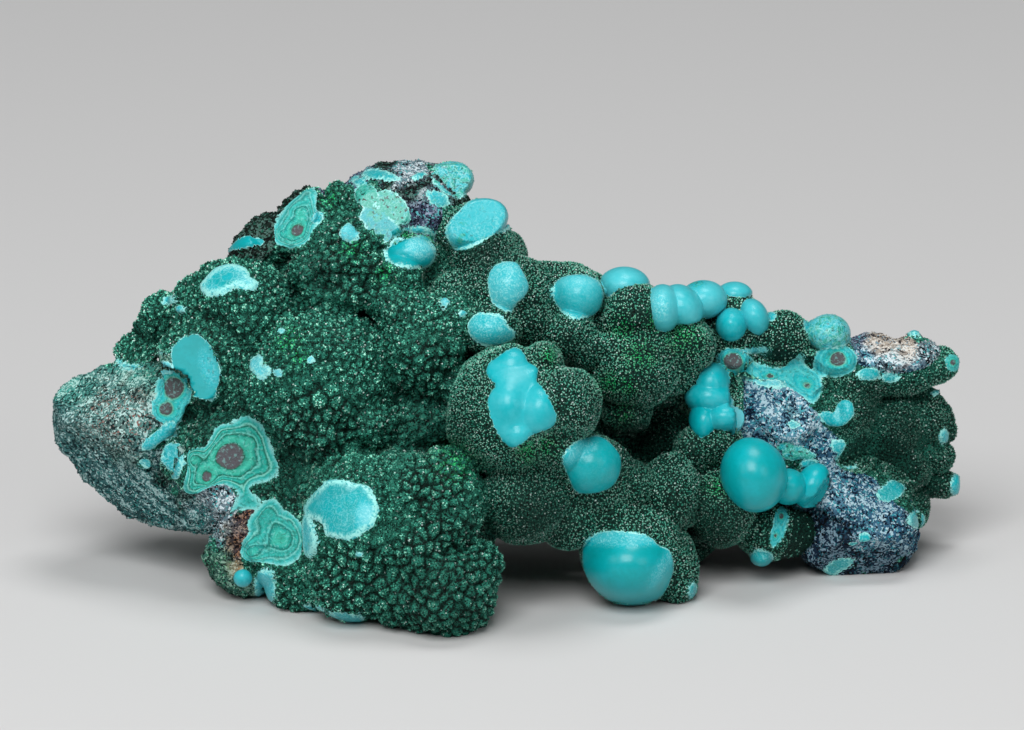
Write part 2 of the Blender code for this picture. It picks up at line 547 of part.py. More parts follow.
def stone_material():
    material = bpy.data.materials.new("malachite")
    material.use_nodes = True
    shader = material.node_tree.nodes["Principled BSDF"]
    shader.inputs["Base Color"].default_value = (0.03, 0.17, 0.11, 1.0)
    shader.inputs["Roughness"].default_value = 0.6
    shader.inputs["Metallic"].default_value = 0.0
    return material


def start_empty():
    for old in list(bpy.data.objects):
        bpy.data.objects.remove(old)
    for name in (NAME, "cutters"):
        collection = bpy.data.collections.new(name)
        bpy.context.scene.collection.children.link(collection)


def main():
    start_empty()
    lobes = KNOBBLY_LOBES + VELVET_LOBES + CHRYSOCOLLA_BALLS + ROCK_LOBES
    lobes = lobes + bud_lobes(lobes)
    solid = grow_together(lobes)
    keep_outer_skin(solid)
    roughen(solid, lobes)
    break_flat(solid)
    thin(solid)
    clear_floor(solid)
    cut_base(solid)
    keep_outer_skin(solid)
    centre_on_floor(solid)
    solid.data.materials.append(stone_material())


main()
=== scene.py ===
"""Malachite specimen: its fine skin, its crystals and its looks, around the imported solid.

The skin grows from the same lobes as the solid, on a finer grid, so it lies where the solid does.
The specimen rests on the XY plane with +Z up and its main face towards -Y. Lengths in the tables
are millimetres in the frame of the main face, which leans back by FACE_LEAN: across it to the
right, up it, and behind it (less is nearer to the viewer).
"""
import math

import bmesh
import bpy
import numpy as np
from mathutils import Matrix, Vector, noise
from mathutils.kdtree import KDTree


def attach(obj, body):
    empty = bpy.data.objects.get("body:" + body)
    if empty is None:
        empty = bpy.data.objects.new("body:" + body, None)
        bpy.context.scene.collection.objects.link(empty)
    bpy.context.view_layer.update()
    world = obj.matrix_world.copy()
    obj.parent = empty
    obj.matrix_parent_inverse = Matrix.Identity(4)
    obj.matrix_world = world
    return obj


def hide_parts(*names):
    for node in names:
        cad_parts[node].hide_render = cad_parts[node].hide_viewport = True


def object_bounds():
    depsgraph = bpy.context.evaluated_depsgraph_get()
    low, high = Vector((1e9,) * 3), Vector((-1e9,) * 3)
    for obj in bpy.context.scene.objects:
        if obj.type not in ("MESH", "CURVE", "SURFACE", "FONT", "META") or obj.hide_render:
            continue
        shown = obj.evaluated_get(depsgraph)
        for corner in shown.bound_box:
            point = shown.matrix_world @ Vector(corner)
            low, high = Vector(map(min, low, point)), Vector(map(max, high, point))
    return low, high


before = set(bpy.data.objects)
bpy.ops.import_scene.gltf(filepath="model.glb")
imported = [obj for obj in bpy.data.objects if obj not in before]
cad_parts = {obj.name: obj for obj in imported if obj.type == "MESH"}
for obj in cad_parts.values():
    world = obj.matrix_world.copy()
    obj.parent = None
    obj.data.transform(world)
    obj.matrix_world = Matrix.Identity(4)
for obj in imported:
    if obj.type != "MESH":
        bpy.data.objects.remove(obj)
CAD_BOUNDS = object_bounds()

NODE = "malachite_specimen"
MM = 0.001
CAD_BOX = [np.array(corner) / MM for corner in CAD_BOUNDS]
FACE_LEAN = 16.0         # degrees

# the skin's shape, in mm; a NOISE is a size, octaves, roughness and, where it's given, lacunarity
VOXEL = 0.49   # of the grid on which the lobes grow together
BLEND = 0.25             # softness of the creases between lobes
REACH = 4.0              # beyond this a lobe or an outline doesn't count
SETTLE_STEPS = 3         # in which the grid's points move onto the lobes
SETTLE_STEP = 1.0        # the longest of them
DIGITS = 6               # that are kept of a place, as the last ones may differ from run to run
LUMP_NOISE = (8.0, 2, 1.0, 2.0)  # swells on every lobe
LUMP_RISE = 0.9
# each layer of knobs: their size and height, and how dark the painted shade in the creases between them is
SWELLING = (3.8, 0.7, 0.35)  # on all the knobbly lobes
ROUGH_KNOB = (2.3, 0.65, 1.0)  # where the stone is roughest
KNOB = (1.7, 0.40, 0.9)  # and on the rest of the knobbly lobes
ROUGH_EDGE = (0.2, 0.6)  # nearness to a rough place, over which one sort gives way to the other
VELVET_KNOB_SHARE = 0.12  # of the swelling's height on the velvet lobes
KNOB_CROWN = 0.75        # of a knob's size, how far its top rounds off
KNOB_SINK = 0.7          # of a knob's height, how much of it lies under the lobe's surface
KNOB_LEAST = 0.02        # a lesser share of knobs or rock is left out of the relief
TINT_LEAST = 0.05        # and a lesser share of knobs or streaks out of the tints
KNOB_EVENINGS = 1        # how many times the knobs' centres are spread out
KNOB_SEED = 8
LEDGE_NOISE = (8.0, 4, 0.9)  # ledges of the broken rock
LEDGE_RISE = 1.4
LEDGE_STEPS = 4.0        # to a unit of their noise
GRIT_NOISE = (1.4, 3, 0.7)
GRIT_RISE = 0.40
CLUMP_NOISE = (2.6, 3, 0.8)  # clumps of the rock's dark and pale grains
CLUMP_SHARE = 0.50
CLUMP_RELIEF = 1.0       # how much the pale clumps and streaks stand out, as a share of the grit
STREAK_NOISE = (1.1, 3, 0.8)
STREAK_LENGTH = 6.0      # times their width
STREAK_SHARE = 0.55
PATCH_RISE = 0.40        # how far the chrysocolla stands proud of the malachite
WALL_EASE = 1.2          # from the sides of the solid's box, where the skin starts to give way
WALL_SPARE = 0.3         # and the least room that it leaves there for the crystals

# small lobes budding from the back, in mm
BUD_COUNT = 46
BUD_RADIUS = (3.0, 6.5)
BUD_SQUASH = (0.75, 1.0)  # their height, of their radius
BUD_CENTRE = (0.0, 28.0, 12.0)  # the rays to their places start round this point
BUD_SPREAD = ((-58, 58), (-8, 14))  # this far across and up from it
BUD_AIM = ((0, 0.5), (0, 0.8), (0.8, 0.5))  # and go this way and this unevenly
BUD_RAY = np.arange(0.0, 60.0, 0.5)
BUD_SINK = 0.35          # of its radius, how deep a bud's centre is
BUD_LIFT = 2.0           # least gap to the floor
BUD_BEHIND = 14.0        # least place behind the main face
BUD_SEED = 11

# where the markings lie
VIEW_CELL = 0.7          # mm, grid on which the front of the skin is found
VIEW_DEPTH = 2.5         # mm, what lies farther behind the front is out of view
VIEW_EDGE = 0.35         # what looks farther away than this is out of view, too
MINERAL_BLEND = 0.8      # mm, over which one mineral's lobes turn into another's
MINERAL_REACH = 20.0     # mm
ROCK_EDGE = (0.35, 0.65)  # share of the rock's lobes, over which the rock shows
ROCK_WANDER = (3.0, 2.0)  # mm, size and amount of the bends in the rock's borders
WANDER_SEED = 7
MARKING_EDGE = (-0.3, 0.3)  # mm inside a marking, over which the bare stone ends
PATCH_EDGE = (-0.2, 0.5)  # and over which a patch rises
TINT_EDGE = (-0.6, 0.6)  # and over which a tint starts
CORNER_CUT = 0.25        # of an outline's sides, at each end
PLAIN_ROCK = "green_grey"  # the rock's kind where no other is near
PLAIN_ROCK_SHARE = 0.02

# the malachite's painted light and shade, and its tones
CREASE_PAINTED_SHADE = 0.05      # of its colour, painted shade in a crease between knobs
CROWN_PAINTED_LIGHT = 1.95       # and painted light on top of one
CROWN_EDGE = (0.10, 1.0)  # height on a knob, over which its crown starts
VELVET_SHADE = 0.50      # of that on the velvet lobes' crystals
VELVET_GAP_SHADE = 0.10  # and between them
DRIFT_NOISE = (7.0, 3)   # how the tone drifts over the lobes
DRIFT_SHARE = 0.35
PAINTED_SHADE_DEPTH = 0.7   # how much darker the painted shade makes the shaded places
CREASE_PALENESS = 0.10   # along the crystals' tints, in a crease between knobs, painted darker as shade
CROWN_PALENESS = 0.78    # and on a knob's crown, painted paler as light
PALENESS_SPREAD = (0.12, 0.27)  # from crystal to crystal, on knobbly and on velvet lobes
VELVET_PALENESS = -0.12  # how much paler the velvet lobes' crystals are
GREEN_SHARE = (0.3, 1.0)  # of the bright green at a green spot
PAINTED_GLINT_SHARE = 0.04       # of the crystals, that get a painted glint

# the crystals, and the grains on rock and on patches' rims
CRYSTAL_RADIUS = (0.19, 0.29)  # mm
CRYSTAL_HEIGHT = (0.14, 0.28)
CRYSTAL_TILT = 0.30
CRYSTAL_ROOT = 0.10      # mm, how deep a crystal's foot sits
CRYSTAL_SPREAD = 0.6     # of VOXEL, how far it may stand from its quad's middle
CRYSTAL_FOOT_PAINTED_SHADE = 0.40  # of its tip's colour, painted shade at a crystal's foot
GRAIN_FOOT_PAINTED_SHADE = 0.55  # the same painted shade, for the grains
GRAIN_GROUND = 0.25      # how much of the rock's ground is mixed into a grain's colour
CRYSTAL_SEED = 5
CRYSTAL_PIECES = 4
CRYSTAL_GAP = -0.1       # mm, crystals keep this far out of patches and sections
ROCK_GRAIN_SHARE = 0.6   # how much of the rock carries grains
RIM_GRAIN_SHARE = 0.4
RIM_GRAIN_SIZE = 0.65    # of a crystal's size
RIM_GRAIN_PLACE = (0.4, 0.2, 0.5)  # of the rim's width inside the outline, and mm and width round it
RIM_GRAIN_DEPTH = -0.3   # mm, no rim grains farther out
RIM_GRAIN_WIDTH = 0.15   # mm, nor on narrower rims
RIM_GRAIN_SHADE = (0.6, 1.1)

# patterns in the skin's colours: sizes and edges in mm, and shares of a colour
# a pattern of FLECKS has a size, detail and distortion, and shows over a range of its noise
PATTERN_BEND = (1.2, 1.6)  # amount and size of the bends in every pattern
RAGGED_NOISE = (0.55, 3.0)  # size and detail of the unevenness of borders
PATCH_RAGGED = 1.0       # and how uneven those of the patches are
BAND_RAGGED = 0.9        # and those of the banded sections
BORDER = (-0.04, 0.04)
RIM_BORDER = (0.5, 1.2)  # of its width, where a patch's pale rim ends
ROCK_NOISE = (0.9, 3.0)
ROCK_BORDER = (0.92, 1.02)
GRAIN_SIZE = 0.34
PALENESS_DRIFT = ((3.0, 0.45), (0.7, 0.25))  # size and share of the chrysocolla's paler places
DRIFT_DETAIL = (3.0, 0.4)  # and their detail and distortion
FACETS = (1.6, 0.45)     # size, and share of the paleness
CRACK_EDGE = (0.0, 0.06)
CRACK_SHARE = 0.7
GREENING_NOISE = (1.1, 4.0, 0.4)
GREENING = (0.45, 0.70, 0.86, 0.8)  # share of a patch's green, range, and share of the colour
CRUMB_FLECKS = (0.32, 3.0, 0.5, 0.46, 0.64)
PIT_FLECKS = (0.6, 3.0, 0.0, 0.56, 0.66)
RIM_FLECKS = (0.6, 3.0, 0.0, 0.34, 0.52)
VELVET_FLECKS = (0.3, 3.0, 0.0, 0.36, 0.62)
PALE_FLECKS = (0.45, 3.0, 0.0, 0.52, 0.66)  # on the banded sections
PALE_FLECK_SHARE = 0.3
DUSK_FLECKS = (0.6, 4.0, 0.5, 0.54, 0.66)
DUSK_SHARE = 0.5
DUSK_RINGS = (0.08, 0.16)  # rings over which the dusk starts
RING_NOISE = (2.4, 5.0, 0.3)
RING_SWAY = 0.22         # how much the rings follow that noise
TONE_SWAY = 0.8          # and their tone

# the surfaces
STONE_ROUGHNESS = 0.70
PATCH_POLISH = 0.34      # how much smoother chrysocolla is
BAND_POLISH = 0.6        # of that on the banded sections
FROST_ROUGHNESS = 0.25
STONE_SPECULAR = 0.12
PATCH_COAT = (0.5, 0.30)  # weight and roughness
FINE_RELIEF = (0.45, 4.0, 0.35)  # size, detail, and height in mm
PATCH_SMOOTHNESS = 0.95  # how much of that is missing on the patches
FROST_RELIEF = 0.5       # and how much there is on frost
CRYSTAL_ROUGHNESS = 0.45
CRYSTAL_SPECULAR = 0.15
FLOOR_ROUGHNESS = 0.9

# the camera and the studio
VIEW_AIM = (0.57, 36.9)   # mm across and up the main face
VIEW_WIDTH = 167.5        # mm across the picture
VIEW_DISTANCE = 2.4       # m
VIEW_END = 10.0           # m
SENSOR = 36.0             # mm
LIGHTS = [  # name, place in m, size in m, power in W
    ("key", (-0.20, -0.98, 1.05), 0.80, 17.0),
    ("left", (-0.95, -0.55, 0.60), 0.60, 2.0),
    ("fill", (0.80, -0.70, 0.50), 0.60, 2.0),
    ("top", (0.10, 0.15, 1.10), 0.50, 4.5),
]
LIGHT_TARGET = (0.0, 0.0, 0.035)
WORLD_COLOUR = (1.0, 1.0, 1.0)
WORLD_STRENGTH = 0.09
FLOOR_COLOUR = (0.62, 0.62, 0.62)
FLOOR_SIZE = 4.0          # m

# Lobes: across, up, behind, half-widths across / up / behind, and the roll in degrees if they have one
KNOBBLY_LOBES = [
    # upper left: two edge knobs, a round dome and the big bumpy dome below it
    (-56.6, 45, 2, 4, 3.9, 5.5), (-58.8, 41.6, 5, 3.6, 3.2, 5), (-60.8, 40.2, 4, 4.4, 2.9, 6),
    (-43.6, 45.4, -6, 9.6, 9, 11), (-50.4, 46, -2, 5.2, 5.4, 8), (-41, 38, -7, 5.2, 5.4, 8.6),
    (-30.6, 34.5, -9, 12.4, 12.3, 15), (-38.6, 31.6, -9, 6.4, 8, 11.5), (-36.5, 26.5, -12, 5, 4.5, 8),
    (-29.5, 25.2, -13, 5.5, 4, 8), (-22.8, 27, -12.5, 5, 4.6, 8), (-49, 28, 1, 6, 6.5, 7),
    # top: a mass of small bumps and a green knob
    (-26, 53, -4, 9.6, 8.5, 11), (-31.6, 56.4, -7, 3.4, 3.4, 5), (-27.2, 57.6, -9.5, 3.2, 3, 4.6),
    (-22.6, 57.2, -9.5, 3.4, 3.2, 4.8), (-32.4, 51.8, -9, 3.6, 3.4, 5), (-27.6, 52.8, -12, 3.4, 3.2, 5),
    (-22.4, 52.6, -12, 3.2, 3, 5), (-17.8, 51.2, -11.5, 3.6, 3.4, 5.4), (-25.6, 48.4, -12, 3.6, 3, 5),
    (-20.6, 47.6, -12.6, 3.2, 3, 5), (-30.6, 48, -9, 3.2, 2.8, 5), (-27.9, 63.4, -2, 3.3, 3.4, 4.8),
    (-28.6, 60.6, -3, 3.8, 3.2, 5.5),
    # centre left: the lobe beside the middle one, and the shaded one below it
    (-14.2, 40.3, -12, 7.6, 8.2, 10), (-16.8, 45.2, -13.5, 4.6, 4.2, 6.5), (-9.6, 44, -12, 4.6, 4.6, 6.5),
    (-11.6, 34.8, -12, 4.6, 4.2, 7), (-14.5, 27.5, -8, 6.5, 6, 7), (-17.6, 23.8, -9, 4, 3.4, 6),
    # lower left: the big front mass the specimen stands on
    (-22, 10, -15, 12, 12.4, 16), (-25.4, 16.4, -17.5, 7, 6.4, 10.5), (-17, 16.6, -19.5, 7.4, 6.6, 12),
    (-10.4, 14.2, -19, 6.6, 9.3, 13.5), (-15, 7, -22, 6.6, 7, 10.5), (-10.4, 0.6, -21, 8.4, 8.4, 12),
    (-6.4, 3.6, -20, 5.4, 5.6, 9), (-17.6, 0.4, -19.5, 6.4, 6, 9.5), (-25, 3, -16, 8.6, 7.6, 11.5),
    (-35.6, 7.6, -8, 7.2, 7.8, 10), (-33.5, 1.5, -8, 6, 5.5, 8), (-35, 17, -7, 5, 4.4, 7),
    # back of the specimen: broad lobes, on which the small ones bud
    (-50, 29, 15, 11, 10, 10), (-33, 44, 15, 12, 11, 11), (-12, 53, 13, 13, 11.5, 10),
    (4, 35, 17, 14, 13, 11), (-28, 16, 12, 14, 12, 12), (-26, 9, 15, 9, 8, 8),
]

VELVET_LOBES = [
    # saddle between the top and the right half
    (-0.5, 48.8, -8, 8, 6.8, 8.5), (-8, 48.2, -8, 4.6, 4.3, 6.5), (-3, 43, -12, 5.6, 4.6, 6.5),
    (-3.7, 54, -2, 7, 6.5, 9.5, -10), (9.2, 46.6, -1, 7.6, 7, 9.5), (7, 51.3, 0, 4.2, 2.4, 6, -20),
    (13.5, 49.5, 0, 3.2, 2.7, 5), (3.3, 44.3, -8.5, 4.3, 4.3, 6.5), (9.6, 41.8, -8, 4.8, 4.2, 7),
    (5.8, 37.8, -19, 3.3, 3, 6),
    # the big round middle lobe and what hangs below it
    (0.4, 29.3, -17, 10.8, 10.6, 15), (8.5, 30.6, -21, 6.6, 6.4, 11), (7.6, 23.6, -18, 5.6, 4.4, 9, -20),
    (2.6, 14.7, -14, 7.4, 6.9, 11), (10.2, 12.3, -10, 5.6, 5.3, 8), (13.6, 18.8, -12, 7, 6.2, 8.5),
    (20, 17.6, -9, 3.4, 3.7, 6), (16.4, 12.2, -9, 4.6, 4.2, 7),
    # right of the middle lobe, above the deep hollow
    (20.9, 45.2, -4, 6.4, 4.5, 9, 14), (29.6, 40.6, -3, 4.2, 4.6, 8), (21.2, 39.3, -5.2, 8, 4, 8.8, 4),
    (20.6, 35.6, -6.4, 6.8, 5.8, 9.2), (26.8, 36.6, -1, 4.8, 4.8, 7), (19.6, 29, -2, 4.2, 3.4, 6.5),
    (12.8, 39.4, -7, 3.4, 3.2, 6),
    # lower right: the foot under the chrysocolla dome and the knobs beside it
    (20, 6.3, -7.5, 8.6, 8.3, 10), (27.2, 4, -5, 4, 6.4, 7), (26.6, 15.8, -4, 5.4, 6.2, 8),
    (35.2, 13.6, -0.5, 5.6, 6.4, 7.5), (42.4, 9.8, 4, 5.2, 4.6, 7), (34.5, 10.2, 6, 5, 2.8, 6),
    # right: around the three-lobed ball, the round lobe and the finger
    (34.4, 23.8, -0.5, 4.2, 3.4, 6), (30.4, 23.2, 0.5, 3.6, 4.4, 6), (33.6, 31.5, 4, 5, 6, 7.5),
    (25.5, 27, 13.5, 6.5, 7.5, 6), (36.8, 43.4, 5, 5.8, 5.6, 7.5), (44.6, 41.3, 5, 4.8, 4.7, 7),
    (36.9, 38.1, 3, 3, 2.6, 5.5), (42.3, 36.6, 3.5, 3.8, 2, 5.5), (48.6, 35.6, 4.5, 3.6, 3.8, 6.5),
    (53.7, 37.9, 6.5, 3.9, 3.1, 6, -15), (55.2, 28.6, 8.5, 5, 5.2, 8), (56.8, 22.6, 9.5, 4, 3.8, 6.5),
    (57, 34.6, 10, 6, 4.2, 7.5), (64.4, 34.9, 12, 9.2, 3, 6.5, 8), (71.8, 37.4, 14, 2.6, 2.6, 3.5),
    (63.2, 26, 15, 5.6, 6, 8), (68.4, 27.6, 18, 4.6, 5.4, 7), (64.4, 20.2, 16, 5.6, 4.4, 7.5),
    (68.6, 31.2, 17, 2.8, 2.6, 5), (71.4, 26.2, 19, 2, 2.2, 4), (70.6, 21.8, 18, 2.9, 2.6, 5),
    (70.4, 17.3, 21, 4.4, 2.2, 4), (66.6, 13.4, 17.5, 3, 3.6, 4.5), (62.6, 15.6, 15, 4, 3.4, 6.5),
    # back
    (27, 34, 20, 12, 10, 10), (46, 30, 21, 11, 10, 9), (1, 20.5, 15, 14, 12, 11),
    (40, 19.5, 21, 12, 10, 9), (60, 27, 22, 9, 9, 8), (26, 12, 14, 9, 9, 9),
]

# The same, after how pale a ball is that is chrysocolla all over, or None for one with a patch
CHRYSOCOLLA_BALLS = [
    (None, 19.6, 4.5, -9.5, 7.2, 5.9, 10.5), (None, 13.3, 20.8, -17.5, 5, 4.8, 7),
    (None, 11.4, 48.2, -6.5, 4.2, 4, 6), (0.7, 18.9, 49.7, -3, 3.9, 2.9, 5),
    (0.7, 25.1, 46.1, -8, 2.6, 3.6, 5.6), (0.65, 28.4, 46.4, -6, 2.7, 3.6, 5.4, 35),
    (0.7, 31.9, 47.6, -1.5, 3.5, 2.8, 5), (0.4, 36.4, 43.5, -2, 2.15, 2.35, 4),
    (0.55, 40.2, 44.8, -0.5, 1.9, 2.7, 4, 25), (0.6, 37, 48.2, 4, 2.7, 2, 3.5),
    (0.45, 33.1, 34, -0.6, 2.7, 3, 5, 12), (0.45, 35.2, 28.4, -1.8, 3.1, 2.3, 5.2, 5),
    (0.3, 31.9, 27.6, -1.4, 2.1, 3.2, 5, -4), (0.4, 32.9, 31.6, -1, 3.8, 2.6, 5.2, -8),
    (0.15, 40, 19, -6.5, 5.05, 5.8, 7, 14), (0.15, 45.7, 17, -1.5, 2.7, 2.6, 4.8),
    (0.25, 49.6, 17.2, 1, 2.3, 3.5, 4.6, -28), (None, 0.6, 37, -22.8, 3.5, 2.9, 5.2),
    (None, 4, 35, -24.5, 1.9, 1.9, 4.4), (None, 0, 30.4, -27.4, 3.4, 4.2, 5.4),
    (None, 5, 29.6, -27.4, 3.6, 4.6, 5.6, -15), (None, 1.6, 25.6, -27.4, 2.9, 2.9, 4.8),
    (None, 52.3, 42.1, 5, 3.4, 2.8, 5), (None, 0.1, 49.6, -12, 3.8, 4.5, 6),
    (None, -2.9, 42.8, -14, 4.2, 2.8, 5.5), (None, -16.2, 55.1, -8, 4.3, 3, 6),
    (None, -5.9, 59.7, -5.5, 5.8, 3.6, 6.5, 24), (None, -9.3, 67.2, 2, 3.3, 2.8, 4.8),
    (0.15, 41.4, 5.6, 3, 1.5, 1.3, 3.5), (0.5, -43.3, 2.4, -9.5, 1.3, 1.3, 2.5),
    (None, -57.2, 25.6, -3.6, 3.2, 1.9, 2.6, 40), (None, -54.7, 21.3, -6, 1.9, 3.3, 2.6),
    (None, -59.4, 20.7, -3.4, 1.1, 0.8, 1.6),
]

ROCK_LOBES = [
    # bulk of the specimen, behind the lobes
    (-59.5, 25, 11, 12.5, 10.5, 12, -15), (-22, 13, -2, 20, 15, 18), (-36, 36, 5, 20, 17, 19),
    (-17, 50, 8, 18, 14, 15), (-36, 53, 6, 8.5, 7.5, 10), (-1, 28, 5, 17, 17, 17),
    (19, 29, 18.5, 18, 15, 10), (44, 27, 14, 18, 14.5, 13), (62, 25, 20, 9, 11, 10),
    # broken rock that shows on the main face
    (-62.5, 27.6, 6, 13.2, 9.8, 12.5, -2), (-60.5, 18.2, 9, 13.6, 5.4, 11.5, -34),
    (-60.8, 33.6, 3, 7.4, 4.7, 8, -5), (-48.5, 16, 2, 8, 6.5, 10), (-55.4, 31.6, -2, 4.2, 6.6, 7),
    (-43.6, 5, -3, 6, 6.3, 8), (-42.3, 10.3, -5, 5, 4.6, 8), (-45.2, 21.2, -6, 10.2, 9, 9.4, -8),
    (-51, 36.8, -7.6, 5.6, 7.4, 8.2, 20), (-17, 62, 3, 11, 8.3, 12), (-40.4, 56.2, 0, 6.2, 3.9, 8, 35),
    (-34.3, 60, -2.5, 3.1, 7, 7, -35), (-20.2, 61.2, -4, 5.4, 4.6, 6.5, -20),
    (44.6, 29.3, 8.5, 9, 7.2, 10, -24), (56, 11.2, 11, 11.2, 9.4, 12, -20),
    (59.5, 38.2, 10, 10.5, 3.4, 7, -5), (67.4, 39.6, 12.5, 3.6, 2.4, 4.5, -25),
    (-23.5, 63.4, 2, 5, 3.6, 8, 15),
]

# Broken faces, where a blow has cut the stone flat: a point on the face (across, up, behind), how far
# the face reaches, and the way that it looks (across, up, behind)
BROKEN_FACES = [
    # banded sections, from the left end to the top
    (-51, 36.8, -12.6, 9.5, -0.12, 0.08, -1), (-45.2, 21, -11.6, 11.5, 0.1, -0.18, -1),
    (-36.2, 9.4, -14.4, 7, -0.35, 0.05, -1), (-34.8, 60.4, -7.4, 7.5, -0.35, 0.25, -1),
    (-55.4, 31.4, -7.2, 7, -0.1, -0.05, -1),
    # rings at the right, and the plates at the top
    (54.2, 37.2, 1.6, 2.6, 0.05, 0.3, -1), (36.9, 38.1, -1.4, 2.6, 0.05, 0.2, -1),
    (-20.2, 61.4, -8.8, 6.5, -0.15, 0.3, -1), (-5.7, 60.2, -9.8, 7, 0.22, 0.36, -1),
    (-9.3, 67.2, -1.4, 4.2, 0.15, 0.35, -1),
    # azurite rock at the lower right
    (44.6, 29.3, 0.6, 10, 0.05, 0.25, -1), (50.6, 8.2, 4, 6.6, -0.75, -0.05, -1),
    (57, 10, 1.6, 10, 0.12, 0.1, -1), (60.6, 16.2, 5, 9, 0.6, 0.95, -0.9), (57, 4.6, 6, 8, 0.15, -1, -0.8),
    # left end and the finger
    (-67.5, 31.5, 1, 14, -0.62, 0.8, -0.8), (-61.5, 27, -5.6, 11, -0.22, 0.02, -1),
    (-65.5, 20.7, 1, 14, -0.7, -0.8, -0.85), (-74.4, 27.5, 6, 6, -1, 0, -0.35),
    (64.5, 40.25, 7.5, 8, 0.1, 1, -1.1),
]

# Where the knobs are largest: across, up, radius
ROUGH_PLACES = [
    (-10, 2, 13), (-25, 1, 9), (-25, 54, 8), (-31, 27, 8), (-13, 36, 6), (-12, 18, 7),
]

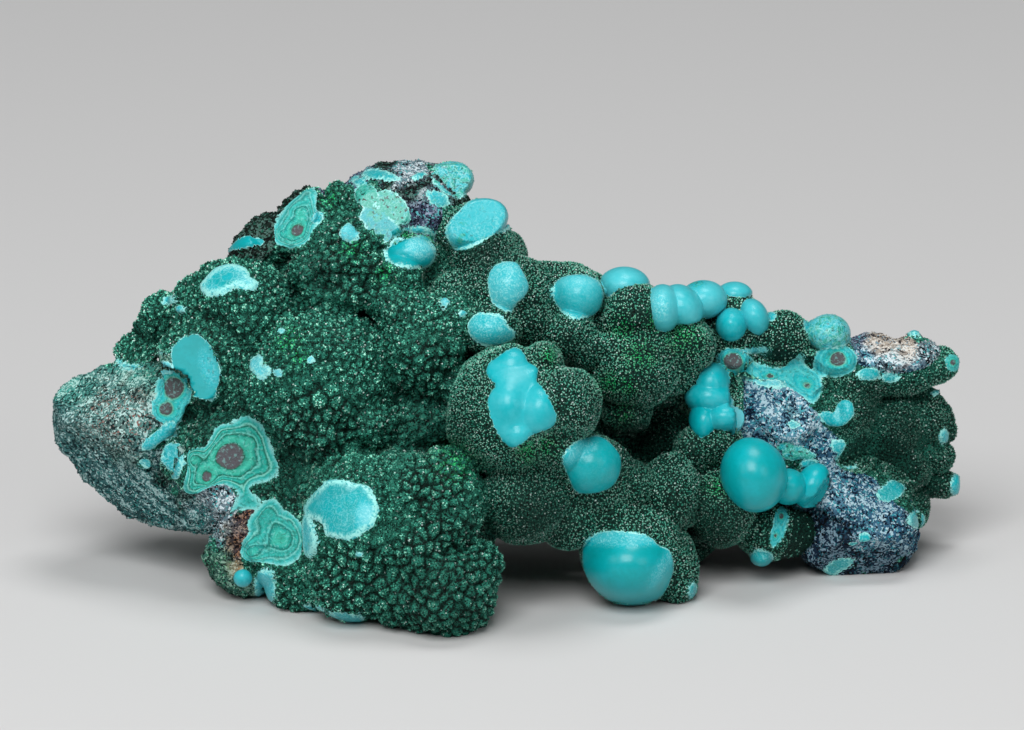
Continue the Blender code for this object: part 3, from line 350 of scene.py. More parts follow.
# Chrysocolla on the main face: looks (how pale, width of its pale rim in mm, how frosted, how crazed,
# how green), and its outline across and up the face
CHRYSOCOLLA_PATCHES = [
    # kidney
    ((0.5, 1.1, 0.8, 0.5, 0), [(-50.5, 49.6), (-49.5, 51), (-48, 52.7), (-46, 53.4), (-44, 53.4),
        (-42.5, 52.6), (-42, 51.2), (-41, 50.9), (-40.5, 50), (-41.2, 49), (-42.6, 48.9), (-44, 49.5),
        (-45.3, 49), (-46.3, 48.3), (-47.5, 48), (-49.5, 48.1)]),
    # disc
    ((0.05, 0.3, 0, 0, 0.05), [(-51.7, 42.2), (-53.5, 41.5), (-55, 40), (-55.2, 38.2), (-54.5, 36),
        (-53.5, 33.5), (-52, 32.2), (-50, 31.3), (-48, 31.2), (-47.7, 32.5), (-47, 34.5), (-47.2, 37),
        (-48, 39.2), (-49.3, 41), (-50.5, 42)]),
    # flat blue
    ((0.2, 0.15, 0, 0, 0), [(-46.3, 55), (-45.2, 56.5), (-43.5, 57.6), (-42, 58), (-40, 57.5), (-41, 56.6),
        (-42.7, 55.9), (-44.8, 55.6)]),
    # small star
    ((0.8, 0.6, 0.9, 0, 0.1), [(-42.6, 36.5), (-41.8, 38), (-40.5, 38.8), (-39.3, 38), (-40, 37),
        (-38.5, 36.8), (-38.2, 35.7), (-39.2, 34.9), (-40.4, 34.3), (-41.2, 35.5)]),
    # top plate left
    ((0.15, 0.35, 0.2, 0.2, 0.45), [(-24.3, 61), (-23.9, 62.6), (-22.8, 63.4), (-21.2, 63.2), (-19.6, 61.6),
        (-18.2, 60), (-17, 58.6), (-18.4, 57.6), (-20.2, 57.4), (-22.2, 58.4), (-23.7, 59.7)]),
    # top plate right
    ((0.25, 0.25, 0.3, 0.3, 0.9), [(-22, 64.3), (-20.6, 65.5), (-18.9, 65.3), (-17.2, 64), (-16, 62.2),
        (-16, 60), (-17.8, 59.6), (-19.4, 60.8), (-21.1, 62.4)]),
    # top dull
    ((0.25, 0.2, 0.3, 0.3, 1), [(-25.4, 64.2), (-24.6, 66), (-22.9, 66.6), (-21.3, 65.6), (-21.4, 63.4),
        (-23.4, 62.4)]),
    # top front
    ((0.15, 0.45, 0, 0, 0), [(-20.3, 54.5), (-20, 56.5), (-18.5, 57.8), (-16.5, 57.5), (-15, 57.8),
        (-13.2, 57), (-12, 55.5), (-12.3, 53.6), (-14, 52.6), (-16.5, 52.4), (-19, 53)]),
    # top lump
    ((0.45, 0.35, 0.6, 0.7, 0.6), [(-12.8, 67.6), (-12.4, 69.4), (-10.8, 70.6), (-8.4, 70.6), (-6.4, 69.2),
        (-5.4, 67.4), (-6.2, 65.4), (-8.3, 63.8), (-10.4, 64.4), (-12, 65.8)]),
    # slanted
    ((0.5, 0.5, 0.35, 0.2, 0.15), [(-9.9, 57.7), (-10.2, 59), (-9.3, 60.8), (-7.5, 62.6), (-5.5, 64.4),
        (-3, 64.6), (-0.6, 63.4), (1.2, 61), (0.6, 59), (-1.6, 58.4), (-3, 57.8), (-3.9, 57), (-5, 56.4),
        (-6, 55.8), (-8, 55.5), (-9, 55.8)]),
    # saddle
    ((0.6, 0.35, 0.55, 0, 0), [(-3.4, 51.5), (-2.5, 53), (-0.5, 53.7), (1.5, 53.7), (2.3, 52.2),
        (3.2, 50.5), (3.4, 49.3), (2.5, 47.8), (1.3, 47), (0.6, 45.5), (-0.8, 45.2), (-2.5, 46.5),
        (-3.4, 49.5)]),
    # low saddle
    ((0.45, 0.45, 0.5, 0, 0), [(-6.8, 43), (-6, 44.7), (-4.5, 45.4), (-3, 45.1), (-1.2, 44.9), (-0.3, 43.2),
        (1, 42.5), (1, 41.2), (-0.5, 40.4), (-2.5, 40), (-4.2, 40.3), (-5.8, 41.2)]),
    # centre
    ((0.45, 0.1, 0, 0, 0), [(-3.7, 36.2), (-3, 37.3), (-1.5, 38.3), (0, 39.3), (1.3, 39.6), (2.5, 38.8),
        (3, 37.3), (4.5, 36.8), (5, 36), (4.5, 34.3), (5, 33.8), (6.2, 32), (7.2, 30), (7.9, 28.3),
        (7, 26.8), (5, 26.2), (3.7, 25.7), (2, 24.2), (0.6, 23.4), (-0.3, 24), (-1.5, 25.5), (-2.4, 27.5),
        (-3, 29.5), (-3.5, 31), (-3, 32.5), (-1.8, 33.5), (-3.5, 35)]),
    # upper one
    ((0.45, 0.3, 0.15, 0, 0), [(6.8, 48.6), (7.4, 50.2), (8.8, 51.3), (11, 51.7), (13.2, 51.4),
        (14.9, 50.2), (15.5, 48.2), (15, 46), (13.4, 44.7), (11.3, 44.2), (9.4, 44.8), (7.9, 46.4)]),
    # faceted
    ((0.1, 0.2, 0.05, 0, 0), [(8.4, 22), (9.5, 23.3), (10.8, 24.6), (12.5, 25.2), (14.7, 25.4),
        (16.3, 24.5), (17.5, 23.2), (18.3, 21.8), (18.2, 19.8), (17.6, 18.2), (16.7, 17), (15, 16.3),
        (13, 16), (11.3, 16.1), (10.4, 17), (9.8, 18.8), (9, 20.3)]),
    # foot
    ((0.1, 0.3, 0, 0, 0), [(12.1, 8.2), (13, 9.2), (14.8, 9.8), (17, 10), (19, 9.7), (21, 9.6), (23.5, 8.8),
        (24.3, 7.5), (26.2, 7), (26.8, 5), (26.8, 3.2), (25.8, 0.6), (24.6, -1.4), (22, -2.4), (18.6, -2.4),
        (15.8, -1.2), (13.8, 0.6), (12.5, 2.8), (12, 5)]),
    # eye rim
    ((0.35, 0.8, 0.5, 0.3, 0.3), [(-33.4, 12.8), (-33.7, 9), (-33.2, 6.2), (-32.2, 5.2), (-31.2, 6.6),
        (-30.8, 8.8), (-31.4, 10.8), (-32, 12.8)]),
    # lower left
    ((0.12, 1.1, 0.25, 0.25, 0), [(-33.4, 13.5), (-32.5, 15), (-31.5, 16.3), (-30, 17.5), (-29.5, 18.3),
        (-28, 18.5), (-26, 18.3), (-24.5, 17.8), (-22.5, 17.5), (-21.8, 16), (-21, 14.5), (-20.8, 13.3),
        (-21.4, 12), (-21.8, 10.6), (-23.5, 9.8), (-25, 8.6), (-27, 8.7), (-29.9, 9.2), (-29.9, 11.3),
        (-32, 11.9), (-33, 12.7)]),
    # heart
    ((0.25, 0.25, 0.3, 0, 0), [(50.7, 29), (52, 29.5), (53.3, 29), (53.6, 30.5), (54.8, 31.4), (56.2, 31),
        (56.8, 29.5), (56.2, 28), (54.5, 26.7), (52.5, 26.8), (51.2, 27.7)]),
    # left crust
    ((0.4, 0.3, 0.4, 0, 0.2), [(-60.2, 23.6), (-59.2, 25), (-57.4, 26.2), (-56, 27.6), (-54.4, 28),
        (-53.8, 26.6), (-54.8, 25.2), (-56.6, 24.4), (-58.2, 23.2), (-59.6, 22.8)]),
    # left bit
    ((0.3, 0.3, 0.5, 0.2, 0.3), [(-56.4, 23), (-55.4, 24.4), (-53.8, 24.2), (-53, 22.6), (-53, 20),
        (-53.8, 18.4), (-55.2, 18), (-56, 19.6), (-56.6, 21.4)]),
    # wedge
    ((0.3, 0.25, 0.4, 0.4, 0.4), [(47.5, 20.8), (48.6, 21.6), (50.6, 21.4), (52.3, 20), (51.8, 17.6),
        (50.3, 15.4), (48.6, 13.6), (46.8, 12.6), (46, 14), (48, 16), (48.6, 18.4)]),
    # above wedge
    ((0.25, 0.2, 0.6, 0.3, 0.8), [(43.6, 23.2), (44.6, 24.6), (46.8, 24), (49.2, 23), (51.2, 21.8),
        (48, 21.4), (46, 21.2), (44.4, 21.8)]),
    # mottled
    ((0.5, 0.35, 0.5, 0.7, 0.6), [(48.6, 41.4), (49, 43.4), (50.6, 45), (53.2, 45.4), (55.6, 44.4),
        (56.6, 42.2), (56, 40.4), (54, 39.6), (51.4, 39.4), (49.6, 40)]),
]

# Small spots of chrysocolla: across, up, half-widths across and up, roll in degrees, paleness
CHRYSOCOLLA_SPOTS = [
    (-25.8, 58.4, 1.7, 1.5, 0, 0.7), (-32, 37.7, 0.7, 0.6, 0, 0.8), (-36.7, 42.3, 0.6, 0.5, 0, 0.7),
    (-37.2, 35.6, 0.9, 0.7, 0, 0.9), (-10.3, 47.2, 0.8, 0.7, 0, 0.7), (-7.5, 45.3, 0.7, 0.6, 0, 0.6),
    (-24, 6.3, 0.7, 0.5, 0, 0.6), (-13.5, 57.5, 1.8, 1, 20, 0.2), (-25.7, 67.3, 1.4, 0.7, 10, 0.2),
    (-21.5, 67.9, 2.6, 0.9, 0, 0.2), (-11.7, 63.9, 2, 1.1, -30, 0.5), (-59.4, 20.7, 1.1, 0.8, 0, 0.2),
    (-14.6, 67.8, 1.2, 0.6, 15, 0.3), (-14.6, 59, 2.4, 0.6, -3, 0.5), (-24.2, 66.6, 1.2, 0.7, 0, 0.3),
    (-61.5, 38.6, 5, 0.8, 2, 0.3), (-56, 36.5, 1.6, 1.2, 0, 0.9), (-55.5, 47.5, 1.2, 0.7, 20, 0.3),
    (-53.5, 46, 0.9, 0.7, 0, 0.3), (-43.3, 2.4, 1.2, 1.2, 0, 0.6), (-39.6, 0.6, 1.9, 3.3, 0, 0.5),
    (-31.5, -2.6, 2, 0.6, -12, 0.2), (-26, -4, 3.4, 0.9, -12, 0.2), (-48.5, 55.6, 1.3, 0.5, 38, 0.7),
    (54, 23.6, 1.3, 1.2, 0, 0.3), (56.7, 22.3, 2.6, 0.7, 22, 0.1), (59, 35.4, 2, 1.1, 0, 0.15),
    (62.6, 34.9, 1.6, 0.9, 0, 0.1), (63.1, 16.6, 2.1, 1.4, 0, 0.1), (66.9, 11.5, 1.6, 1.5, 0, 0.2),
    (74, 17, 1.3, 2.1, 0, 0.3), (70.2, 32.4, 0.8, 0.6, 0, 0.3), (66.8, 42.2, 1.2, 0.5, 0, 0.4),
    (56.6, 6.6, 0.7, 0.8, 0, 0.2), (58.5, 8.7, 1, 1.2, 0, 0.2), (54.2, 3.1, 2.7, 0.8, 0, 0.1),
    (41.4, 5.6, 1.9, 1.4, 0, 0.1), (43, 44.7, 0.9, 0.9, 0, 0.4), (28.5, 49.6, 0.9, 0.7, 0, 0.4),
    (30, 0, 0.8, 1.6, 0, 0.1), (41.8, 34.3, 3.8, 0.8, -8, 0.6), (46.6, 27.6, 1, 0.8, 0, 0.2),
    (40.3, 39.3, 2.6, 0.6, 8, 0.6), (49.2, 43.4, 1.2, 1.6, 0, 0.4), (-46.5, 57.2, 1.1, 0.4, 20, 0.9),
    (-19.2, 67.4, 1.4, 0.6, 0, 0.3), (-31.2, 60.9, 1.2, 1.1, 0, 0.4), (71.6, 25.2, 0.8, 1.3, 0, 0.3),
]
PATCH_LOOKS = ("pale", "rim", "frost", "craze", "green")
SPOT_LOOKS = (0.3, 0.4, 0.0, 0.2)  # all but the paleness, for a spot
BALL_LOOKS = (0.1, 0.0, 0.0, 0.0)  # and for a ball that is chrysocolla all over

# Where a patch's looks change: across, up, half-widths, roll, and how pale, frosted and green it is
PATCH_TINTS = [
    (-49.3, 36.6, 1.2, 2.8, 18, 0.35, 0.25, 0.3), (-14.3, 56, 2.4, 1.7, 0, 0.7, 0.7, 0),
    (11.5, 23.2, 3, 1.5, 30, 0.5, 0.4, 0), (-46, 50.6, 2.6, 1.2, 10, 0.1, 0.1, 0),
    (-6.8, 57.6, 2, 1.4, 30, 0.25, 0.2, 0.5), (-4, 62.2, 3.2, 1.1, 20, 0.6, 0.1, 0.2),
    (19, 8.7, 6.5, 1.5, 0, 0.5, 0.5, 0), (25, 4.5, 0.9, 3.4, -35, 0.45, 0.4, 0),
    (-32, 13, 1.6, 2.6, 0, 0.15, 0.1, 0), (-23.2, 12.4, 1.3, 2.6, 0, 0.55, 0.3, 0),
    (24.6, 46.4, 1.2, 2.2, 0, 0.7, 0.6, 0.1), (-12.6, 57.6, 1.6, 0.9, 0, 0.1, 0, 1),
    (11.3, 50.3, 3, 0.9, 0, 0.7, 0.3, 0), (-21.8, 62, 1.6, 1, 20, 0.4, 0.2, 0.7),
    (30.6, 50, 1.6, 0.9, 0, 0.4, 0.2, 0.5),
]

# Banded sections: tone (0 green, 1 blue-green), outline, and the cores that its rings run round
# (across, up, radius)
BANDED_SECTIONS = [
    # big
    (0, [(-52.7, 23), (-51, 23.4), (-49, 23.2), (-48.2, 25), (-47.3, 27.3), (-45.5, 27.2), (-44, 28.2),
        (-42, 28), (-40.3, 26.8), (-39, 25), (-38.3, 23), (-37.2, 20.5), (-37.3, 19), (-38.2, 18),
        (-39.5, 17.2), (-41.5, 17), (-42, 15.8), (-40.5, 15.2), (-40.1, 14), (-41, 13), (-43.5, 13),
        (-45.9, 12), (-45, 13.5), (-43.5, 16), (-46, 17), (-49, 16.5), (-51, 15.5), (-53, 15.8),
        (-53.2, 17.5), (-52.3, 19.5)],
     [(-45, 21.4, 1.9), (-42, 23.6, -0.7), (-48.8, 18.2, 0.6), (-51.3, 21.2, -0.3)]),
    # eye
    (0.2, [(-33.6, 9), (-34.1, 11.3), (-35.6, 12.9), (-37, 13.6), (-38, 14.9), (-40.2, 14.7), (-41, 13),
        (-42, 11.4), (-42.5, 9.4), (-43.5, 8), (-43.7, 6), (-42.4, 4.6), (-40.6, 4.8), (-39, 4.4),
        (-37.2, 4.2), (-35.1, 5.1), (-33.9, 6.9)],
     [(-38, 9, -0.6), (-42.2, 6.3, -0.2)]),
    # left
    (0.8, [(-58.2, 36.2), (-55.6, 37.3), (-53.4, 36.5), (-52.3, 34), (-52.1, 31), (-52.9, 28),
        (-54.6, 26.6), (-56.6, 27.2), (-58.1, 28.4), (-58.3, 30.5), (-57.6, 32.5), (-58.6, 34.3)],
     [(-55, 33, 1.4), (-56.1, 29.6, 0.9)]),
    # top left
    (0.3, [(-38.5, 57), (-38.2, 59.8), (-37, 61.2), (-36.2, 63), (-34.5, 64.5), (-34, 66), (-32.8, 66.5),
        (-31.5, 66), (-31, 64), (-31.5, 62.2), (-30, 61.7), (-30, 60.5), (-31, 59.7), (-32.5, 59),
        (-33.5, 57.5), (-35, 55.7), (-36.5, 56.2)],
     [(-34.8, 59.2, 0.8), (-34.4, 61.8, -0.3), (-37.2, 58.5, -0.5)]),
    # right ring
    (0.9, [(34, 37.6), (34.5, 39), (36, 39.8), (38, 39.6), (39.3, 38.3), (40.5, 37.8), (42, 37.7),
        (43.4, 37.3), (45, 37), (46.2, 38.8), (48, 38.9), (49, 37.5), (51, 36.5), (51.5, 34), (51.2, 32),
        (50, 30.3), (48.8, 31.2), (47.5, 32.5), (46, 33.4), (44, 34), (42, 34.4), (40, 35), (38, 35.2),
        (36, 35.4), (34.6, 36.2)],
     [(36.7, 37.6, 1.4), (43, 36, 0.4), (49, 34.4, 0.3)]),
    # far ring
    (0.9, [(49.8, 37.6), (50.5, 39.3), (52.3, 40.3), (54.6, 40.4), (56.6, 39.4), (57.4, 37.6), (56.6, 35.8),
        (54.4, 34.9), (52, 35), (50.4, 36)],
     [(54, 38.2, 1)]),
    # tip ring
    (0.4, [(71.6, 37.2), (72, 38.4), (73, 38.8), (74.1, 38.3), (74.5, 37.2), (74, 36.1), (72.9, 35.7),
        (71.9, 36.2)],
     [(73, 37.3, 0.4)]),
    # low rings
    (0.9, [(44.6, 14.2), (45.6, 13.2), (45.6, 11.2), (45, 9.2), (44, 7.6), (42.9, 7.2), (42.6, 8.6),
        (43.1, 10.4), (43.5, 12.4)],
     [(44.6, 12.2, 0.3), (43.6, 9, 0.2)]),
]

# Broken rock: for each kind, its ground, grains, dark grains and grains of another mineral as RRGGBB,
# and where it shows (across, up, radius)
ROCK = {
    "teal_crust": (("3F8E84", "A4D8CE", "143A36", "2FBFB0"), [
        (-70, 32, 4), (-61, 35, 4)]),
    "speckled": (("5C8C88", "B8DAD6", "16282A", "8A6058"), [
        (-66, 31, 5), (-61, 30, 4), (-62, 25.5, 4), (-70, 27, 4), (46.5, 28.8, 1.6)]),
    "blue_grey": (("3C6A6C", "A4C6C6", "0C2A2E", "2A8C86"), [
        (-71, 23, 4), (-60, 15.5, 4), (-66, 18, 4.5), (-53, 11, 3.5), (-73.5, 28, 3), (-58.5, 24, 2.5)]),
    "black": (("10201A", "4C6C64", "020504", "1F5A4A"), [
        (-65, 22, 1.8), (-61, 20.8, 1.8), (-57, 18, 1.6), (-53.5, 14.5, 1.4), (-42, 59.5, 4.5),
        (-45.5, 56.5, 2.6), (-37.5, 64, 2.6), (-15, 65.4, 2.6), (-20, 66.4, 1.2), (-4.5, 66.5, 2.4),
        (-9, 64.5, 2.2), (-20, 69.5, 2)]),
    "salt_pepper": (("6C828C", "D2E2E8", "0A1216", "3FB0B4"), [
        (-48, 14.6, 3), (-46, 10.8, 2.4), (-17.5, 67.4, 1.6), (-12.6, 64.6, 1.4), (69.6, 38.6, 2.4),
        (62.5, 37.4, 2.4), (-16, 69.5, 2.4)]),
    "purple_grey": (("465068", "8C9AB0", "141828", "5CB8BC"), [
        (-14, 61.5, 3.2), (-28.5, 66, 1.4), (57, 40.4, 2), (-24, 68, 2)]),
    "tan": (("A49274", "D0C6B0", "2A241E", "A87C58"), [
        (-45.6, 3.9, 1.4), (-43.9, 3.8, 1.2), (-39.8, 12.4, 0.9), (-45.8, 10.2, 1.1)]),
    "beige": (("AA9E90", "DCD6CC", "2C2A2C", "8496A4"), [
        (64.5, 39.6, 2.4), (60.8, 40.6, 2)]),
    "ruddy": (("74625C", "B8D0CA", "1C2424", "B46A5A"), [
        (-64.2, 26.8, 1.6), (-59.8, 32.3, 1.3), (-59.5, 29.8, 1.2), (-62.4, 35, 1.3), (-66.8, 30.6, 1.2)]),
    "brown": (("46363A", "A08272", "120C0E", "A06E52"), [
        (-42.4, 11.7, 1.4), (-43.9, 9.2, 1.6), (-45, 6.6, 1.5)]),
    "azurite": (("345F7A", "A8C8D4", "08162A", "2C8E9C"), [
        (41, 30, 4.5), (38.5, 27, 2.6), (50.5, 24.2, 2.4), (56.5, 13.5, 3.5), (62, 11.5, 3),
        (52.5, 20, 2.4), (66, 37, 2), (57, 17, 2.4), (64.5, 9, 2.6)]),
    "azurite_pale": (("6494AA", "CCE2EC", "10283E", "3FB0B8"), [
        (46, 30.5, 3.6), (43.5, 26.5, 3.4), (49, 27, 2.6), (54, 16.2, 2.6), (59, 9, 2.2), (58.5, 37.6, 3)]),
    "azurite_dark": (("14283C", "7A96A6", "02050A", "1F6470"), [
        (51.5, 10, 4.8), (54, 5, 4.2), (62, 5.5, 3), (50, 6.5, 2.6)]),
    "green_grey": (("38665A", "84AE9C", "0C241E", "3C8E6C"), [
        (-57, 35.5, 2.6), (-47.5, 4.5, 3), (-45.5, 0.5, 2.5), (-40, 1.5, 2)]),
}
ROCK_REACH = (0.132, 0.308)  # a place's rock fades in over this range of its nearness
ROCK_SORTS = ("dark", "ground", "accent", "grains")  # of grain, from dark to pale
ROCK_SHARES = (0.24, 0.42, 0.10, 0.24)  # of each sort
GRAIN_EDGE = 0.04        # softness of the borders between them

# Where the rock is streaked: across, up, radius, and the streaks' slope in degrees
STREAKS = [
    (-67, 20, 9, -38), (-58, 14, 8, -38), (61, 39, 7, -10), (-42.5, 8, 5, 60),
]

# Spots where the malachite's crystals are a clear bright green: across, up, radius
GREEN_SPOTS = [
    (21.3, 38.6, 2.6), (28.5, 41.5, 2.6), (19, 43.2, 2), (16.5, 34, 1.8), (18.8, 28.8, 1.8),
    (6.7, 38.5, 1.3), (3, 22.8, 1.8), (6.5, 23.5, 1.5), (-35.5, 40.5, 2), (-33.8, 38.2, 1.5),
    (-25.5, 56, 2), (-20, 52, 1.8), (-29, 64.2, 1.5), (19.5, 33.5, 1.6), (-9, 21, 3), (24, 44.5, 2),
    (34, 17, 1.6), (-13.4, 57.9, 1.3), (-17, 58.4, 1.4),
]

# Where shade is painted on the malachite's crystals, in its hollows and its shaded parts: across, up, radius
PAINTED_SHADE_PLACES = [
    (66, 25, 9), (-36, 18, 5), (-49, 27, 5), (-14, 26, 6), (-10, 0, 9), (21, 25, 7), (34, 10, 6),
    (68, 16, 5), (-31, 52, 4), (-4, 56, 5), (4, 12.5, 6), (60, 30, 6),
]

# Colours as RRGGBB
CHRYSOCOLLA_STOPS = ((0, "009CA0"), (0.35, "04AEB8"), (1, "66D2DC"))  # from deep to pale
CHRYSOCOLLA_FROST = "9CE4E4"
CHRYSOCOLLA_RIM = "9AE6E0"
CHRYSOCOLLA_GREEN = "36A88C"
MALACHITE_DARK = "010A07"
MALACHITE_BASE = "2A7866"
CRYSTAL_TINTS = ("0E5A46", "2C937A", "64BEA4", "A8DCC8")  # from crease to crown: dark for painted shade, pale for painted light
# colour of a painted glint on a crystal
PAINTED_GLINT_COLOUR = "DCF8F0"
CRYSTAL_GREEN = "14D26A"
CRYSTAL_PALE = "8CDCDC"
# Rings of the banded sections, from the core (0) to the border (1)
GREEN_BAND_STOPS = [
    (0, "5E5C62"), (0.06, "565A5C"), (0.1, "1C6450"), (0.14, "34A892"), (0.3, "4CC8B0"), (0.4, "2CA894"),
    (0.48, "14604C"), (0.53, "6CD4C4"), (0.58, "1C9484"), (0.66, "34BCAC"), (0.72, "17705E"),
    (0.77, "86DED0"), (0.82, "22A89C"), (0.9, "52C8C4"), (1, "9CE6E2"),
]
BLUE_BAND_STOPS = [
    (0, "56585A"), (0.06, "3E4C4A"), (0.12, "74BCA6"), (0.2, "2CB4B0"), (0.34, "34C8CA"), (0.5, "1CB4BE"),
    (0.66, "58D4D6"), (0.8, "16B2C0"), (0.9, "64DADC"), (1, "98E6E2"),
]


# ---------------------------------------------------------------- the frame of the main face


def turned(x, y, degrees):
    """The same x and y along axes that are turned by that much."""
    turn_cos, turn_sin = math.cos(math.radians(degrees)), math.sin(math.radians(degrees))
    return x * turn_cos + y * turn_sin, y * turn_cos - x * turn_sin


def to_face(points):
    """World points in mm, as an array of (across, up, behind)."""
    up, behind = turned(points[:, 2], points[:, 1], FACE_LEAN)
    return np.stack([points[:, 0], up, behind], axis=1)


def to_world(face):
    """The reverse of to_face."""
    z, y = turned(face[:, 1], face[:, 2], -FACE_LEAN)
    return np.stack([face[:, 0], y, z], axis=1)


def ease(value, low, high):
    """0 below low, 1 above high, and smooth between them."""
    share = np.clip((value - low) / (high - low), 0.0, 1.0)
    return share * share * (3.0 - 2.0 * share)


def nearness(face, spots):
    """0 to 1, how near each point is to the nearest of some spots."""
    near = np.zeros(len(face))
    for across, up, radius in spots:
        gap = np.hypot(face[:, 0] - across, face[:, 1] - up) / radius
        near = np.maximum(near, np.exp(-gap * gap))
    return near


def fractal(points, size, octaves, roughness=1.0, lacunarity=2.1):
    """Noise of about -1 to 1, with waves of that size in mm."""
    return np.array([noise.fractal(Vector(point / size), roughness, lacunarity, octaves) for point in points])


def wander(points, size, amount):
    """Offsets in mm that make a border uneven."""
    noise.seed_set(WANDER_SEED)
    return amount * np.array([noise.noise_vector(Vector(point / size)) for point in points])


# ---------------------------------------------------------------- the lobes


def rolled(rows):
    """The rows of a table of lobes, with a roll of 0 where they leave it out."""
    return [(*row, 0)[:7] for row in rows]


LOBE_GROUPS = [rolled(KNOBBLY_LOBES), rolled(VELVET_LOBES), rolled(ball[1:] for ball in CHRYSOCOLLA_BALLS),
               rolled(ROCK_LOBES)]


def lobe_reach(face, lobe):
    """Distance to one lobe's surface, less than 0 inside it, and the outward direction."""
    across, up, behind, half_across, half_up, half_behind, roll = lobe
    x, z = turned(face[:, 0] - across, face[:, 1] - up, roll)
    x, z = x / half_across, z / half_up
    y = (face[:, 2] - behind) / half_behind
    reach = np.sqrt(x * x + y * y + z * z) + 1e-9
    x, y, z = x / half_across, y / half_behind, z / half_up
    slope = np.sqrt(x * x + y * y + z * z) + 1e-9
    out = np.stack([*turned(x, z, -roll), y], axis=1)
    return reach * (reach - 1.0) / slope, out / slope[:, None]


def near_lobe(face, lobe):
    """Indices of the points that a lobe can reach."""
    gap = face - np.array(lobe[:3])
    return np.nonzero((gap * gap).sum(axis=1) < (max(lobe[3:6]) + REACH) ** 2)[0]


def mass_field(face, lobes):
    """Distance to the lobes grown together, and the outward direction."""
    weight = np.zeros(len(face))
    out = np.zeros((len(face), 3))
    for lobe in lobes:
        near = near_lobe(face, lobe)
        distance, direction = lobe_reach(face[near], lobe)
        share = np.exp(np.clip(-distance / BLEND, -60.0, 60.0))
        weight[near] += share
        out[near] += share[:, None] * direction
    out /= np.linalg.norm(out, axis=1)[:, None] + 1e-30
    return -BLEND * np.log(weight + 1e-30), out


def nearest_of(face, lobes):
    """Distance to the nearest of some lobes."""
    best = np.full(len(face), REACH)
    for lobe in lobes:
        near = near_lobe(face, lobe)
        best[near] = np.minimum(best[near], lobe_reach(face[near], lobe)[0])
    return best


def bud_lobes(parents):
    """Small lobes on the back, each centred a little under the surface of the mass."""
    rng = np.random.default_rng(BUD_SEED)
    buds = []
    while len(buds) < BUD_COUNT:
        start = np.array(BUD_CENTRE) + [*(rng.uniform(*side) for side in BUD_SPREAD), 0.0]
        aim = np.array([rng.normal(*part) for part in BUD_AIM])
        aim[2] = abs(aim[2])
        aim /= np.linalg.norm(aim)
        path = start + BUD_RAY[:, None] * aim
        inside = mass_field(path, parents)[0] < 0.0
        if not inside[0]:
            continue
        point = path[np.argmin(inside)]
        radius = rng.uniform(*BUD_RADIUS)
        if to_world(point[None])[0][2] < radius + BUD_LIFT or point[2] < BUD_BEHIND:
            continue
        squashed = radius * rng.uniform(*BUD_SQUASH)
        buds.append((*(point - aim * radius * BUD_SINK), radius, squashed, radius, 0))
    return buds


def read(items, name, width, kind=np.float64):
    """One property of every item as an array."""
    values = np.empty(len(items) * width, kind)
    items.foreach_get(name, values)
    return values.reshape(-1, width)


def link(name, data):
    """An object of that name in the scene."""
    made = bpy.data.objects.new(name, data)
    bpy.context.scene.collection.objects.link(made)
    return made


def grow_together(lobes):
    """All the lobes as one skin on a fine voxel grid: its points in mm, and its quads."""
    bm = bmesh.new()
    for across, up, behind, half_across, half_up, half_behind, roll in lobes:
        place = (
            Matrix.Rotation(-math.radians(FACE_LEAN), 4, "X")
            @ Matrix.Translation(Vector((across, behind, up)) * MM)
            @ Matrix.Rotation(math.radians(-roll), 4, "Y")
            @ Matrix.Diagonal(Vector((half_across, half_behind, half_up, 1.0 / MM)) * MM)
        )
        bmesh.ops.create_icosphere(bm, subdivisions=3, radius=1.0, matrix=place)
    mesh = bpy.data.meshes.new("lobes")
    bm.to_mesh(mesh)
    bm.free()
    rough = link("lobes", mesh)
    remesh = rough.modifiers.new("grow_together", "REMESH")
    remesh.mode = "VOXEL"
    remesh.voxel_size = VOXEL * MM
    made = bpy.data.meshes.new_from_object(rough.evaluated_get(bpy.context.evaluated_depsgraph_get()))
    points = read(made.vertices, "co", 3) / MM
    quads = read(made.loops, "vertex_index", 1, np.int32).reshape(-1, 4)
    bpy.data.objects.remove(rough)
    bpy.data.meshes.remove(mesh)
    bpy.data.meshes.remove(made)
    return points, quads


def corner_normals(points, quads):
    """Smooth normals at the points, and the quads' own normals."""
    own = np.cross(points[quads[:, 2]] - points[quads[:, 0]], points[quads[:, 3]] - points[quads[:, 1]])
    smooth = np.zeros_like(points)
    for corner in range(4):
        for axis in range(3):
            smooth[:, axis] += np.bincount(quads[:, corner], own[:, axis], len(points))
    smooth /= np.linalg.norm(smooth, axis=1)[:, None] + 1e-30
    own /= np.linalg.norm(own, axis=1)[:, None] + 1e-30
    return smooth, own


def settle(face, lobes):
    """Moves each point onto the softened surface of the lobes."""
    for _ in range(SETTLE_STEPS):
        distance, out = mass_field(face, lobes)
        face = face - out * np.clip(distance, -SETTLE_STEP, SETTLE_STEP)[:, None]
    return np.round(face, DIGITS)


# ---------------------------------------------------------------- markings


def in_view(face):
    """True where nothing of the skin lies in front, seen square to the main face."""
    column = ((face[:, :2] - face[:, :2].min(axis=0)) / VIEW_CELL).astype(int)
    index = column[:, 0] * (column[:, 1].max() + 1) + column[:, 1]
    front = np.full(index.max() + 1, np.inf)
    np.minimum.at(front, index, face[:, 2])
    return face[:, 2] < front[index] + VIEW_DEPTH


def rounded(outline):
    """The outline with its corners cut twice."""
    corners = np.array(outline, dtype=float)
    keep = 1.0 - CORNER_CUT
    for _ in range(2):
        following = np.roll(corners, -1, axis=0)
        ends = (keep * corners + CORNER_CUT * following, CORNER_CUT * corners + keep * following)
        corners = np.stack(ends, axis=1).reshape(-1, 2)
    return corners


